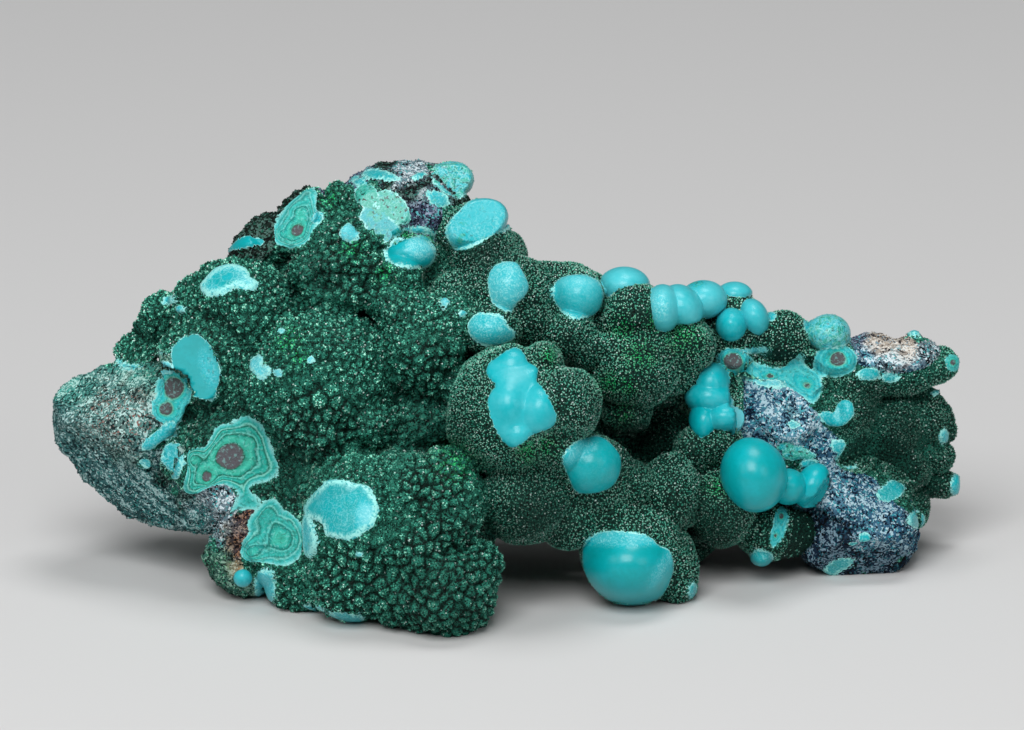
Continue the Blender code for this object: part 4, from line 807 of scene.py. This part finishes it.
def depth_inside(face, front, outline):
    """Distance in mm inside a closed outline on the front, less than 0 outside it."""
    corners = rounded(outline)
    depth = np.full(len(face), -REACH)
    low, high = corners.min(axis=0) - REACH, corners.max(axis=0) + REACH
    near = np.nonzero(front & ((face[:, :2] > low) & (face[:, :2] < high)).all(axis=1))[0]
    spot = face[near, :2]
    gap = np.full(len(near), np.inf)
    inside = np.zeros(len(near), dtype=bool)
    for here, following in zip(corners, np.roll(corners, -1, axis=0)):
        side = following - here
        share = np.clip((spot - here) @ side / (side @ side), 0.0, 1.0)
        gap = np.minimum(gap, np.linalg.norm(spot - here - share[:, None] * side, axis=1))
        crosses = (here[1] > spot[:, 1]) != (following[1] > spot[:, 1])
        where = here[0] + (spot[:, 1] - here[1]) / (side[1] if side[1] else 1e-9) * side[0]
        inside ^= crosses & (spot[:, 0] < where)
    depth[near] = np.clip(np.where(inside, gap, -gap), -REACH, REACH)
    return depth


def depth_in_oval(face, oval):
    """The same for a small oval anywhere: across, up, half-widths and roll."""
    across, up, half_across, half_up, roll = oval
    x, z = turned(face[:, 0] - across, face[:, 1] - up, roll)
    x, z = x / half_across, z / half_up
    return np.clip((1.0 - np.sqrt(x * x + z * z)) * min(half_across, half_up), -REACH, REACH)


def chrysocolla_cover(face, front):
    """Depth inside the nearest chrysocolla patch, and the patch's looks."""
    cover = np.full(len(face), -REACH)
    looks = np.zeros((len(face), 5))

    def lay(depth, own):
        over = depth > cover
        cover[over] = depth[over]
        looks[over] = own

    for own, outline in CHRYSOCOLLA_PATCHES:
        lay(depth_inside(face, front, outline), own)
    for *oval, pale in CHRYSOCOLLA_SPOTS:
        lay(np.where(front, depth_in_oval(face, oval), -REACH), (pale, *SPOT_LOOKS))
    knobbly, velvet, balls, rock = LOBE_GROUPS
    others = nearest_of(face, knobbly + velvet + rock)
    for (pale, *_), ball in zip(CHRYSOCOLLA_BALLS, balls):
        if pale is not None:
            reach = np.full(len(face), REACH)
            near = near_lobe(face, ball)
            reach[near] = lobe_reach(face[near], ball)[0]
            lay(np.clip(others - reach, -REACH, REACH), (pale, *BALL_LOOKS))
    for *oval, pale, frost, green in PATCH_TINTS:
        share = ease(depth_in_oval(face, oval), *TINT_EDGE) * front
        for column, value in ((0, pale), (2, frost), (4, green)):
            looks[:, column] += (value - looks[:, column]) * share
    return cover, looks


def banding(face, front):
    """Depth inside the nearest banded section, its ring (0 in a core, 1 at the border) and tone."""
    cover = np.full(len(face), -REACH)
    ring = np.ones(len(face))
    tone = np.zeros(len(face))
    for own, outline, cores in BANDED_SECTIONS:
        depth = depth_inside(face, front, outline)
        core = np.full(len(face), np.inf)
        for across, up, radius in cores:
            core = np.minimum(core, np.hypot(face[:, 0] - across, face[:, 1] - up) - radius)
        core = np.maximum(core, 0.0)
        over = depth > cover
        cover[over] = depth[over]
        ring[over] = (core / (core + np.maximum(depth, 0.0) + 1e-6))[over]
        tone[over] = own
    return cover, ring, tone


def linear(code):
    """A colour written as RRGGBB, as linear red, green and blue."""
    parts = [int(code[i:i + 2], 16) / 255.0 for i in (0, 2, 4)]
    return tuple(part / 12.92 if part < 0.04045 else ((part + 0.055) / 1.055) ** 2.4 for part in parts)


def rock_looks(face):
    """How much the broken rock shows at each point, and its ground and three sorts of grain."""
    near = np.zeros((len(ROCK), len(face)))
    for row, (_, places) in zip(near, ROCK.values()):
        for across, up, radius in places:
            gap = np.hypot(face[:, 0] - across, face[:, 1] - up) / radius
            row += np.exp(-gap * gap)
    shows = ease(near.max(axis=0), *ROCK_REACH)
    near[list(ROCK).index(PLAIN_ROCK)] += PLAIN_ROCK_SHARE
    near = near ** 2
    near /= near.sum(axis=0)
    colours = np.array([[linear(code) for code in codes] for codes, _ in ROCK.values()])
    return shows, np.einsum("kn,klc->lnc", near, colours)


def rock_clumps(face):
    """About -0.5 to 0.5: how the rock's dark and pale grains clump, in streaks at some places."""
    clump = CLUMP_SHARE * fractal(face, *CLUMP_NOISE)
    for across, up, radius, slope in STREAKS:
        near = nearness(face, [(across, up, radius)])
        streaked = np.nonzero(near > TINT_LEAST)[0]
        own = face[streaked]
        along, over = turned(own[:, 0], own[:, 1], slope)
        bent = np.stack([along / STREAK_LENGTH, over, own[:, 2]], axis=1)
        streak = STREAK_SHARE * fractal(bent, *STREAK_NOISE)
        clump[streaked] += (streak - clump[streaked]) * near[streaked]
    return clump


# ---------------------------------------------------------------- the skin


def point_tree(centres):
    """A tree that finds the nearest of some points."""
    tree = KDTree(len(centres))
    for index, centre in enumerate(centres.tolist()):
        tree.insert(centre, index)
    tree.balance()
    return tree


def knob_tree(points, size, rng):
    """The centres of knobs of a size in mm, spread over the skin's points."""
    boxes = np.floor(points / size + rng.random(3)).astype(np.int64)
    order = rng.permutation(len(points))
    _, first = np.unique(boxes[order], axis=0, return_index=True)
    centres = points[order[first]]
    for _ in range(KNOB_EVENINGS):
        tree = point_tree(centres)
        nearest = np.array([tree.find(point)[1] for point in points.tolist()])
        count = np.bincount(nearest, minlength=len(centres))
        sums = [np.bincount(nearest, points[:, axis], len(centres)) for axis in range(3)]
        centres = (np.stack(sums, axis=1) / np.maximum(count, 1)[:, None])[count > 0]
    return point_tree(centres)


def plant_knobs(points, knobbly):
    """The knobs' centres in each layer, on the knobbly lobes and a little beyond."""
    rng = np.random.default_rng(KNOB_SEED)
    own = points[knobbly > KNOB_LEAST]
    grounds = ((SWELLING, points), (ROUGH_KNOB, own), (KNOB, own))
    return {layer: knob_tree(ground, layer[0], rng) for layer, ground in grounds}


def knobs(points, tree, size):
    """Rounded knobs: 1 on top, and 0 in the crease between two of them."""
    found = [[near[2] for near in tree.find_n(point, 2)] for point in points.tolist()]
    away = np.array(found).reshape(-1, 2)
    gap = np.clip((away[:, 1] - away[:, 0]) / (size * KNOB_CROWN), 0.0, 1.0)
    return 1.0 - (1.0 - gap) ** 2


def knob_layers(points, knobbly, velvet, trees, least):
    """For each layer: the points on it, its strength and height on a knob (0 to 1) there, and itself."""
    rough = ease(nearness(to_face(points), ROUGH_PLACES), *ROUGH_EDGE)
    strengths = (knobbly + velvet * VELVET_KNOB_SHARE, knobbly * rough, knobbly * (1.0 - rough))
    for (layer, tree), strength in zip(trees.items(), strengths):
        near = np.nonzero(strength > least)[0]
        yield near, strength[near], knobs(points[near], tree, layer[0]), layer


def crown_share(top, strength):
    """1 on the crown of a knob, and down to 0 in the crease beside it."""
    return 1.0 - np.clip(strength, 0.0, 1.0) * (1.0 - ease(top, *CROWN_EDGE))


def painted_crown_shading(crown, velvet, velvet_shade):
    """Painted shade in the creases and painted light on the crowns, and less light on the velvet lobes."""
    return (CREASE_PAINTED_SHADE + (CROWN_PAINTED_LIGHT - CREASE_PAINTED_SHADE) * crown) * (1.0 - (1.0 - velvet_shade) * velvet)


def relief(points, shares, clump, trees):
    """Height in mm of each point's relief, from how much of each mineral it is, and its painted shading:
    shade in the creases, light on the crowns.
    """
    knobbly, velvet, rocky = shares["knobbly"], shares["velvet"], shares["rock"]
    height = (knobbly + velvet) * LUMP_RISE * fractal(points, *LUMP_NOISE) + shares["patch"] * PATCH_RISE
    crown = np.ones(len(points))
    for near, strength, top, (_, rise, painted_crease_darkness) in knob_layers(points, knobbly, velvet, trees, KNOB_LEAST):
        height[near] += strength * rise * (top - KNOB_SINK)
        crown[near] *= crown_share(top, strength * painted_crease_darkness)
    rock = np.nonzero(rocky > KNOB_LEAST)[0]
    rough = fractal(points[rock], *LEDGE_NOISE)
    ledge = 0.5 * rough + 0.5 * np.round(rough * LEDGE_STEPS) / LEDGE_STEPS
    grit = fractal(points[rock], *GRIT_NOISE) + CLUMP_RELIEF * clump[rock]
    height[rock] += rocky[rock] * (LEDGE_RISE * ledge + GRIT_RISE * grit)
    return height, painted_crown_shading(crown, velvet, VELVET_GAP_SHADE)


def break_flat(face):
    """Moves what stands out beyond each broken face back onto it."""
    for across, up, behind, reach, *look in BROKEN_FACES:
        middle = np.array([across, up, behind])
        look = np.array(look) / np.linalg.norm(look)
        beyond = (face - middle) @ look
        cut = (beyond > 0.0) & (np.linalg.norm(face - middle, axis=1) < reach)
        face[cut] -= beyond[cut, None] * look
    return np.round(face, DIGITS)


def make_skin():
    """The whole skin as arrays: points in mm, quads, and each point's markings and growth."""
    lobes = sum(LOBE_GROUPS, [])
    lobes += bud_lobes(lobes)
    points, quads = grow_together(lobes)
    face = settle(to_face(points), lobes)
    points = to_world(face)
    normals, _ = corner_normals(points, quads)
    flat = break_flat(face.copy())
    flat_normals, _ = corner_normals(to_world(flat), quads)
    front = in_view(flat) & (to_face(flat_normals)[:, 2] < VIEW_EDGE)

    patch, looks = chrysocolla_cover(face, front)
    band, ring, tone = banding(face, front)
    nearest = [nearest_of(face, group) for group in LOBE_GROUPS]
    closeness = np.exp(-np.clip(nearest, 0.0, MINERAL_REACH) / MINERAL_BLEND)
    knobbly, velvet, ball, rock = closeness / closeness.sum(axis=0)
    shows, (ground, grains, dark, accent) = rock_looks(flat + wander(points, *ROCK_WANDER))
    clump = rock_clumps(flat)
    shown = ease(rock, *ROCK_EDGE) * np.where(front, shows, 1.0)
    bare = 1.0 - np.maximum(ease(patch, *MARKING_EDGE), ease(band, *MARKING_EDGE))
    shares = {
        "knobbly": (knobbly + rock * (1.0 - shown)) * bare, "velvet": (velvet + ball) * bare,
        "rock": rock * shown * bare, "patch": ease(patch, *PATCH_EDGE),
    }
    trees = plant_knobs(points, shares["knobbly"])
    # the painted shading: dark in the creases between knobs, light on their crowns
    height, painted_shading = relief(points, shares, clump, trees)
    growth = {"root": points, "knobbly": shares["knobbly"], "velvet": shares["velvet"]}
    face = break_flat(to_face(points + normals * height[:, None]))
    markings = {
        "patch": patch, **dict(zip(PATCH_LOOKS, looks.T)), "band": band, "ring": ring, "tone": tone,
        "rock": shown, "painted_shading": painted_shading, "clump": clump,
        "ground": ground, "grains": grains, "dark": dark, "accent": accent,
    }
    return to_world(face), quads, markings, growth, trees


def fit_to_cad(points):
    """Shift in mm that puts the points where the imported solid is."""
    low, high = CAD_BOX
    middle = (points.min(axis=0) + points.max(axis=0)) / 2.0
    shift = (low + high) / 2.0 - middle
    shift[2] = low[2]
    return shift


def keep_inside(points):
    """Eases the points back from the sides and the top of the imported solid's box."""
    low, high = CAD_BOX
    give = WALL_EASE - WALL_SPARE
    for axis, wall, side in ((0, low, 1.0), (0, high, -1.0), (1, low, 1.0), (1, high, -1.0), (2, high, -1.0)):
        room = (points[:, axis] - wall[axis]) * side
        near = room < WALL_EASE
        points[near, axis] = wall[axis] + side * (WALL_SPARE + give * np.exp((room[near] - WALL_EASE) / give))
    return np.clip(points, low, high)


def split_quads(points, quads):
    """The skin's pieces by name, each with its quads: front and back, left and right."""
    centres = to_face(points[quads].mean(axis=1))
    front = centres[:, 2] < np.median(centres[:, 2])
    left = centres[:, 0] < np.median(centres[:, 0])
    return {
        "skin_front_left": quads[front & left], "skin_front_right": quads[front & ~left],
        "skin_back_left": quads[~front & left], "skin_back_right": quads[~front & ~left],
    }


def make_mesh(name, points, faces):
    """An object from points in mm and faces that all have as many corners."""
    count, width = faces.shape
    mesh = bpy.data.meshes.new(name)
    mesh.vertices.add(len(points))
    mesh.vertices.foreach_set("co", (points * MM).ravel())
    mesh.loops.add(count * width)
    mesh.loops.foreach_set("vertex_index", faces.ravel().astype(np.int32))
    mesh.polygons.add(count)
    mesh.polygons.foreach_set("loop_start", np.arange(0, count * width, width, dtype=np.int32))
    mesh.update(calc_edges=True)
    return link(name, mesh)


def write_marking(mesh, name, values):
    """A marking as a point attribute: a number, or a colour."""
    if values.ndim == 1:
        mesh.attributes.new(name, "FLOAT", "POINT").data.foreach_set("value", values)
        return
    colours = np.ones((len(values), 4))
    colours[:, :3] = values
    mesh.attributes.new(name, "FLOAT_COLOR", "POINT").data.foreach_set("color", colours.ravel())


def place_piece(piece, material):
    """Gives a piece its material, and says what it belongs to."""
    piece.data.materials.append(material)
    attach(piece, "root")
    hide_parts(NODE)


def build_skin(points, quads, markings):
    """The skin's pieces, shaded across their seams by the whole skin's normals."""
    smooth, _ = corner_normals(points, quads)
    material = skin_material()
    for name, own in split_quads(points, quads).items():
        used, faces = np.unique(own, return_inverse=True)
        piece = make_mesh(name, points[used], faces.reshape(-1, 4))
        for marking, values in markings.items():
            write_marking(piece.data, marking, values[used])
        piece.data.shade_smooth()
        piece.data.normals_split_custom_set_from_vertices(smooth[used])
        place_piece(piece, material)


# ---------------------------------------------------------------- the crystals


def malachite_tints(roots, at, trees, rng):
    """Painted light on the knobs' tops, painted shade in their creases and at the shaded places, painted
    glints, and bright green at the green spots.
    """
    face = to_face(roots)
    crown = np.ones(len(roots))
    for near, strength, top, layer in knob_layers(roots, at["knobbly"], at["velvet"], trees, TINT_LEAST):
        crown[near] *= crown_share(top, strength * layer[2])
    # paler on the crowns as painted light, darker in the creases as painted shade
    pale = CREASE_PALENESS + (CROWN_PALENESS - CREASE_PALENESS) * crown
    spread = PALENESS_SPREAD[0] + (PALENESS_SPREAD[1] - PALENESS_SPREAD[0]) * at["velvet"]
    pale += VELVET_PALENESS * at["velvet"] + rng.normal(0.0, 1.0, len(roots)) * spread
    stops = np.linspace(0.0, 1.0, len(CRYSTAL_TINTS))
    channels = zip(*map(linear, CRYSTAL_TINTS))
    tints = np.stack([np.interp(np.clip(pale, 0.0, 1.0), stops, channel) for channel in channels], axis=1)
    green = nearness(face, GREEN_SPOTS) * rng.uniform(*GREEN_SHARE, len(roots))
    tints += (np.array(linear(CRYSTAL_GREEN)) - tints) * green[:, None]
    # painted light on the knobs' crowns and painted shade in their creases; the drift is the stone's own
    # uneven tone
    painted_shading = painted_crown_shading(crown, at["velvet"], VELVET_SHADE)
    painted_shading *= 1.0 + DRIFT_SHARE * fractal(roots, *DRIFT_NOISE)
    # painted shade at the shaded places
    painted_shading *= (1.0 - PAINTED_SHADE_DEPTH * nearness(face, PAINTED_SHADE_PLACES))
    # painted glints: a few crystals are given a pale highlight colour
    painted_glint = rng.random(len(roots)) < PAINTED_GLINT_SHARE
    tints[painted_glint] = linear(PAINTED_GLINT_COLOUR)
    painted_shading[painted_glint] = np.sqrt(painted_shading[painted_glint])
    return tints * painted_shading[:, None]


def rock_tints(at, rng):
    """Each grain takes one of the rock's colours, mixed with some of its ground."""
    pick = np.clip(rng.random(len(at["clump"])) + at["clump"], 0.0, 1.0)
    sort = np.searchsorted(np.cumsum(ROCK_SHARES[:-1]), pick)
    sorts = np.array([at[name] for name in ROCK_SORTS])
    return (1.0 - GRAIN_GROUND) * sorts[sort, np.arange(len(pick))] + GRAIN_GROUND * at["ground"]


def sow_crystals(points, quads, markings, trees):
    """The crystals' centres, outward directions, tints, painted shade at the foot, and share of full size."""
    rng = np.random.default_rng(CRYSTAL_SEED)
    _, out = corner_normals(points, quads)
    at = {name: values[quads].mean(axis=1) for name, values in markings.items()}
    bare = (at["patch"] < CRYSTAL_GAP) & (at["band"] < CRYSTAL_GAP)
    malachite = bare & (at["rock"] < 0.5)
    rock = bare & ~malachite & (rng.random(len(quads)) < ROCK_GRAIN_SHARE)
    inward, least, spread = RIM_GRAIN_PLACE
    edge = np.abs(at["patch"] - at["rim"] * inward) < least + at["rim"] * spread
    edge &= (at["patch"] > RIM_GRAIN_DEPTH) & (at["rim"] > RIM_GRAIN_WIDTH)
    rim = edge & (rng.random(len(quads)) < RIM_GRAIN_SHARE)
    green, rocky, rims = (np.nonzero(mask)[0] for mask in (malachite, rock, rim))
    chosen = np.concatenate([green, rocky, rims])
    shift = rng.uniform(-CRYSTAL_SPREAD, CRYSTAL_SPREAD, (len(chosen), 3)) * VOXEL
    shift -= (shift * out[chosen]).sum(axis=1)[:, None] * out[chosen]
    centres = points[quads[chosen]].mean(axis=1) + shift
    roots = at["root"][green] + shift[:len(green)]
    tints = np.concatenate([
        malachite_tints(roots, {name: values[green] for name, values in at.items()}, trees, rng),
        rock_tints({name: values[rocky] for name, values in at.items()}, rng),
        np.tile(linear(CRYSTAL_PALE), (len(rims), 1)) * rng.uniform(*RIM_GRAIN_SHADE, (len(rims), 1)),
    ])
    painted_foot_shade = np.where(np.arange(len(chosen)) < len(green), CRYSTAL_FOOT_PAINTED_SHADE, GRAIN_FOOT_PAINTED_SHADE)
    size = np.where(np.arange(len(chosen)) < len(chosen) - len(rims), 1.0, RIM_GRAIN_SIZE)
    above = centres[:, 2] > CRYSTAL_HEIGHT[1]
    return centres[above], out[chosen][above], tints[above], painted_foot_shade[above], size[above], rng


def build_crystals(points, quads, markings, trees):
    """Each crystal is a small three-sided point, tilted at random, with painted shade at its foot."""
    centres, out, tints, painted_foot_shade, size, rng = sow_crystals(points, quads, markings, trees)
    count = len(centres)
    axis = out + rng.normal(0.0, CRYSTAL_TILT, (count, 3))
    axis /= np.linalg.norm(axis, axis=1)[:, None]
    side = np.cross(axis, rng.normal(0.0, 1.0, (count, 3)))
    side /= np.linalg.norm(side, axis=1)[:, None]
    across = np.cross(axis, side)
    radius = rng.uniform(*CRYSTAL_RADIUS, count) * size
    height = rng.uniform(*CRYSTAL_HEIGHT, count) * size
    corners = np.empty((count, 4, 3))
    for corner in range(3):
        turn = 2.0 * math.pi * corner / 3.0
        rim = side * math.cos(turn) + across * math.sin(turn)
        corners[:, corner] = centres + rim * radius[:, None] - out * CRYSTAL_ROOT
    corners[:, 3] = centres + axis * height[:, None]
    corners = np.clip(corners, *CAD_BOX)
    # painted shade at the three corners of each crystal's foot
    tints_with_painted_feet = np.repeat(tints[:, None], 4, axis=1)
    tints_with_painted_feet[:, :3] *= painted_foot_shade[:, None, None]

    material = crystal_material()
    order = np.argsort(centres[:, 0])
    for number, own in enumerate(np.array_split(order, CRYSTAL_PIECES), start=1):
        first = np.arange(len(own))[:, None] * 4
        faces = np.concatenate([first + [0, 1, 3], first + [1, 2, 3], first + [2, 0, 3]])
        piece = make_mesh(f"crystals_{number}", corners[own].reshape(-1, 3), faces)
        write_marking(piece.data, "tint", tints_with_painted_feet[own].reshape(-1, 3))
        place_piece(piece, material)


# ---------------------------------------------------------------- materials


class Value:
    """A shader value, which can be added to, taken away, multiplied and divided."""

    def __init__(self, shader, socket):
        self.shader = shader
        self.socket = socket

    def __add__(self, other):
        return self.shader.math("ADD", self, other)

    def __sub__(self, other):
        return self.shader.math("SUBTRACT", self, other)

    def __rsub__(self, other):
        return self.shader.math("SUBTRACT", other, self)

    def __mul__(self, other):
        return self.shader.math("MULTIPLY", self, other)

    def __truediv__(self, other):
        return self.shader.math("DIVIDE", self, other)

    def clamped(self):
        """The same value, kept between 0 and 1."""
        self.socket.node.use_clamp = True
        return self


class Shader:
    """A material's node tree, with short calls for the nodes that are used here."""

    def __init__(self, name):
        self.material = bpy.data.materials.new(name)
        self.material.use_nodes = True
        self.tree = self.material.node_tree
        self.surface = self.tree.nodes["Principled BSDF"].inputs
        self.place = Value(self, self.tree.nodes.new("ShaderNodeTexCoord").outputs["Object"])

    def feed(self, socket, value):
        """Sets a socket to a number or an RRGGBB colour, or links a value to it."""
        if isinstance(value, Value):
            self.tree.links.new(value.socket, socket)
        elif isinstance(value, str):
            socket.default_value = (*linear(value), 1.0)
        else:
            socket.default_value = value

    def node(self, kind, output, inputs, **settings):
        """One output of a new node, whose settings and inputs are given by their names."""
        node = self.tree.nodes.new("ShaderNode" + kind)
        for name, value in settings.items():
            setattr(node, name, value)
        for name, value in inputs.items():
            self.feed(node.inputs[name], value)
        return Value(self, node.outputs[output])

    def attribute(self, name, output="Fac"):
        """A marking, as a number or a Color."""
        return self.node("Attribute", output, {}, attribute_name=name)

    def math(self, operation, first, second):
        """Two numbers, combined."""
        return self.node("Math", 0, {0: first, 1: second}, operation=operation)

    def texture(self, kind, output, size, inputs, **settings):
        """One output of a texture with details of that size in mm."""
        inputs = {"Vector": self.place, "Scale": 1.0 / (size * MM), **inputs}
        return self.node(kind, output, inputs, **settings)

    def noise(self, size, detail=2.0, distortion=0.0, output="Fac"):
        """Noise from about 0.25 to 0.75, with lumps of that size in mm."""
        inputs = {"Detail": detail, "Distortion": distortion}
        return self.texture("TexNoise", output, size, inputs)

    def uneven(self, size, detail, distortion=0.0):
        """The same noise, around 0."""
        return self.noise(size, detail, distortion) - 0.5

    def flecks(self, size, detail, distortion, low, high):
        """1 where the same noise is high, and 0 where it's low."""
        return self.step(self.noise(size, detail, distortion), low, high)

    def cells(self, size, feature="F1", output="Distance"):
        """Cells of that size in mm: the distance to their middle or edge, or a colour each."""
        return self.texture("TexVoronoi", output, size, {}, feature=feature)

    def bend(self, amount, size):
        """From here on, textures are bent by that much in mm, in waves of that size."""
        inputs = {0: self.noise(size, output="Color"), 1: (amount * MM,) * 3, 2: self.place}
        self.place = self.node("VectorMath", "Vector", inputs, operation="MULTIPLY_ADD")

    def chance(self, size):
        """A number from 0 to 1 for each cell of that size in mm."""
        return self.node("SeparateColor", "Red", {"Color": self.cells(size, output="Color")})

    def step(self, value, low, high):
        """0 below low, 1 above high, and smooth between them."""
        inputs = {"Value": value, "From Min": low, "From Max": high}
        return self.node("MapRange", "Result", inputs, interpolation_type="SMOOTHSTEP")

    def mix(self, share, first, second):
        """The first colour, turning into the second one as the share goes to 1."""
        return self.node("Mix", "Result", {"Factor": share, "A": first, "B": second}, data_type="RGBA")

    def ramp(self, share, stops):
        """A colour from stops, each a place from 0 to 1 and an RRGGBB colour."""
        made = self.node("ValToRGB", "Color", {"Fac": share})
        elements = made.socket.node.color_ramp.elements
        while len(elements) < len(stops):
            elements.new(0.5)
        for element, (place, code) in zip(elements, stops):
            element.position = place
            element.color = (*linear(code), 1.0)
        return made

    def bump(self, height, rise):
        """Fine relief of that rise in mm."""
        normal = self.node("Bump", "Normal", {"Height": height, "Distance": rise * MM})
        self.feed(self.surface["Normal"], normal)


def ragged(shader, name, amount):
    """A marking's depth inside its outline, made uneven by fine noise."""
    return shader.attribute(name) + shader.uneven(*RAGGED_NOISE) * amount


def chrysocolla_colour(shader, depth):
    """Blue-green and waxy, greener or frosted in places, with a crumbly pale rim."""
    pale, width, frost, craze, green = (shader.attribute(name) for name in PATCH_LOOKS)
    for size, share in PALENESS_DRIFT:
        pale = pale + shader.uneven(size, *DRIFT_DETAIL) * share
    size, share = FACETS
    pale = (pale + (shader.chance(size) - 0.5) * craze * share).clamped()
    body = shader.ramp(pale, CHRYSOCOLLA_STOPS)
    own, low, high, share = GREENING
    greener = shader.step(shader.noise(*GREENING_NOISE) + green * own, low, high)
    body = shader.mix(greener * share, body, CHRYSOCOLLA_GREEN)
    body = shader.mix(shader.flecks(*CRUMB_FLECKS) * frost, body, CHRYSOCOLLA_FROST)
    body = shader.mix(shader.flecks(*PIT_FLECKS) * green, body, MALACHITE_DARK)
    crack = 1.0 - shader.step(shader.cells(size, "DISTANCE_TO_EDGE"), *CRACK_EDGE)
    body = shader.mix(crack * craze * CRACK_SHARE, body, CHRYSOCOLLA_FROST)
    rim = 1.0 - shader.step(depth / width, *RIM_BORDER)
    return shader.mix(rim * shader.flecks(*RIM_FLECKS), body, CHRYSOCOLLA_RIM)


def banded_colour(shader):
    """Rings round the cores: dull in the core, then light and dark greens, pale at the border."""
    sway = shader.uneven(*RING_NOISE)
    ring = (shader.attribute("ring") + sway * RING_SWAY).clamped()
    tone = (shader.attribute("tone") + sway * TONE_SWAY).clamped()
    rings = shader.mix(tone, shader.ramp(ring, GREEN_BAND_STOPS), shader.ramp(ring, BLUE_BAND_STOPS))
    rings = shader.mix(shader.flecks(*PALE_FLECKS) * PALE_FLECK_SHARE, rings, CHRYSOCOLLA_RIM)
    dusk = shader.flecks(*DUSK_FLECKS) * DUSK_SHARE * shader.step(ring, *DUSK_RINGS)
    return shader.mix(dusk, rings, MALACHITE_BASE)


def rock_colour(shader):
    """Grains of four sorts, each in its own cell, which clump as the markings say."""
    grain = (shader.chance(GRAIN_SIZE) + shader.attribute("clump")).clamped()
    colour = shader.attribute(ROCK_SORTS[0], "Color")
    for start, name in zip(np.cumsum(ROCK_SHARES), ROCK_SORTS[1:]):
        own = shader.step(grain, start - GRAIN_EDGE, start + GRAIN_EDGE)
        colour = shader.mix(own, colour, shader.attribute(name, "Color"))
    return colour


def skin_material():
    """The skin's minerals, each where the markings say."""
    shader = Shader("specimen_skin")
    shader.bend(*PATTERN_BEND)
    patch_depth = ragged(shader, "patch", PATCH_RAGGED)
    in_patch = shader.step(patch_depth, *BORDER)
    in_band = shader.step(ragged(shader, "band", BAND_RAGGED), *BORDER)
    # the malachite's flecks, with painted shade in the creases between knobs
    velvet = shader.flecks(*VELVET_FLECKS) * shader.attribute("painted_shading")
    malachite = shader.mix(velvet, MALACHITE_DARK, MALACHITE_BASE)
    rock = shader.step(shader.attribute("rock") + shader.noise(*ROCK_NOISE), *ROCK_BORDER)
    colour = shader.mix(rock, malachite, rock_colour(shader))
    colour = shader.mix(in_band, colour, banded_colour(shader))
    colour = shader.mix(in_patch, colour, chrysocolla_colour(shader, patch_depth))
    frost = shader.attribute("frost")
    smooth = shader.math("MAXIMUM", in_patch, in_band * BAND_POLISH)
    weight, coat_roughness = PATCH_COAT
    surface = {
        "Base Color": colour,
        "Roughness": STONE_ROUGHNESS - smooth * PATCH_POLISH + frost * FROST_ROUGHNESS,
        "Specular IOR Level": STONE_SPECULAR,
        "Coat Weight": in_patch * weight,
        "Coat Roughness": coat_roughness,
    }
    for name, value in surface.items():
        shader.feed(shader.surface[name], value)
    size, detail, rise = FINE_RELIEF
    rough = 1.0 - in_patch * PATCH_SMOOTHNESS + frost * FROST_RELIEF
    shader.bump(shader.noise(size, detail) * rough, rise)
    return shader.material


def crystal_material():
    """The crystals' and grains' tints, with the light and shade painted into them."""
    shader = Shader("crystals")
    shader.feed(shader.surface["Base Color"], shader.attribute("tint", "Color"))
    shader.surface["Roughness"].default_value = CRYSTAL_ROUGHNESS
    shader.surface["Specular IOR Level"].default_value = CRYSTAL_SPECULAR
    return shader.material


# ---------------------------------------------------------------- the studio


def build_floor():
    """A pale floor under the specimen."""
    mesh = bpy.data.meshes.new("floor")
    bm = bmesh.new()
    bmesh.ops.create_grid(bm, x_segments=1, y_segments=1, size=FLOOR_SIZE)
    bm.to_mesh(mesh)
    bm.free()
    floor = link("floor", mesh)
    shader = Shader("floor")
    shader.surface["Base Color"].default_value = (*FLOOR_COLOUR, 1.0)
    shader.surface["Roughness"].default_value = FLOOR_ROUGHNESS
    mesh.materials.append(shader.material)


def light_studio():
    """Soft square lights that look at the specimen, a pale sky, and colours shown as they are."""
    for name, place, size, power in LIGHTS:
        lamp = bpy.data.lights.new(name, "AREA")
        lamp.size = size
        lamp.energy = power
        light = link(name, lamp)
        light.location = place
        light.rotation_euler = (Vector(LIGHT_TARGET) - Vector(place)).to_track_quat("-Z", "Y").to_euler()
    world = bpy.data.worlds.new("studio")
    world.use_nodes = True
    sky = world.node_tree.nodes["Background"]
    sky.inputs["Color"].default_value = (*WORLD_COLOUR, 1.0)
    sky.inputs["Strength"].default_value = WORLD_STRENGTH
    bpy.context.scene.world = world
    bpy.context.scene.view_settings.view_transform = "Standard"


def aim_camera(shift):
    """The camera looks square at the main face from far off."""
    camera = bpy.data.cameras.new("camera")
    camera.sensor_width = SENSOR
    camera.lens = SENSOR * VIEW_DISTANCE / (VIEW_WIDTH * MM)
    camera.clip_end = VIEW_END
    eye = link("camera", camera)
    place = to_world(np.array([[*VIEW_AIM, -VIEW_DISTANCE / MM]]))[0] + shift
    eye.location = Vector(place) * MM
    eye.rotation_euler = (math.pi / 2.0 - math.radians(FACE_LEAN), 0.0, 0.0)
    bpy.context.scene.camera = eye


def main():
    """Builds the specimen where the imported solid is, and the studio round it."""
    points, quads, markings, growth, trees = make_skin()
    points[:, 2] = np.maximum(points[:, 2], 0.0)
    shift = fit_to_cad(points)
    points = keep_inside(points + shift)
    build_crystals(points, quads, {**markings, **growth}, trees)
    build_skin(points, quads, markings)
    build_floor()
    light_studio()
    aim_camera(shift)


main()
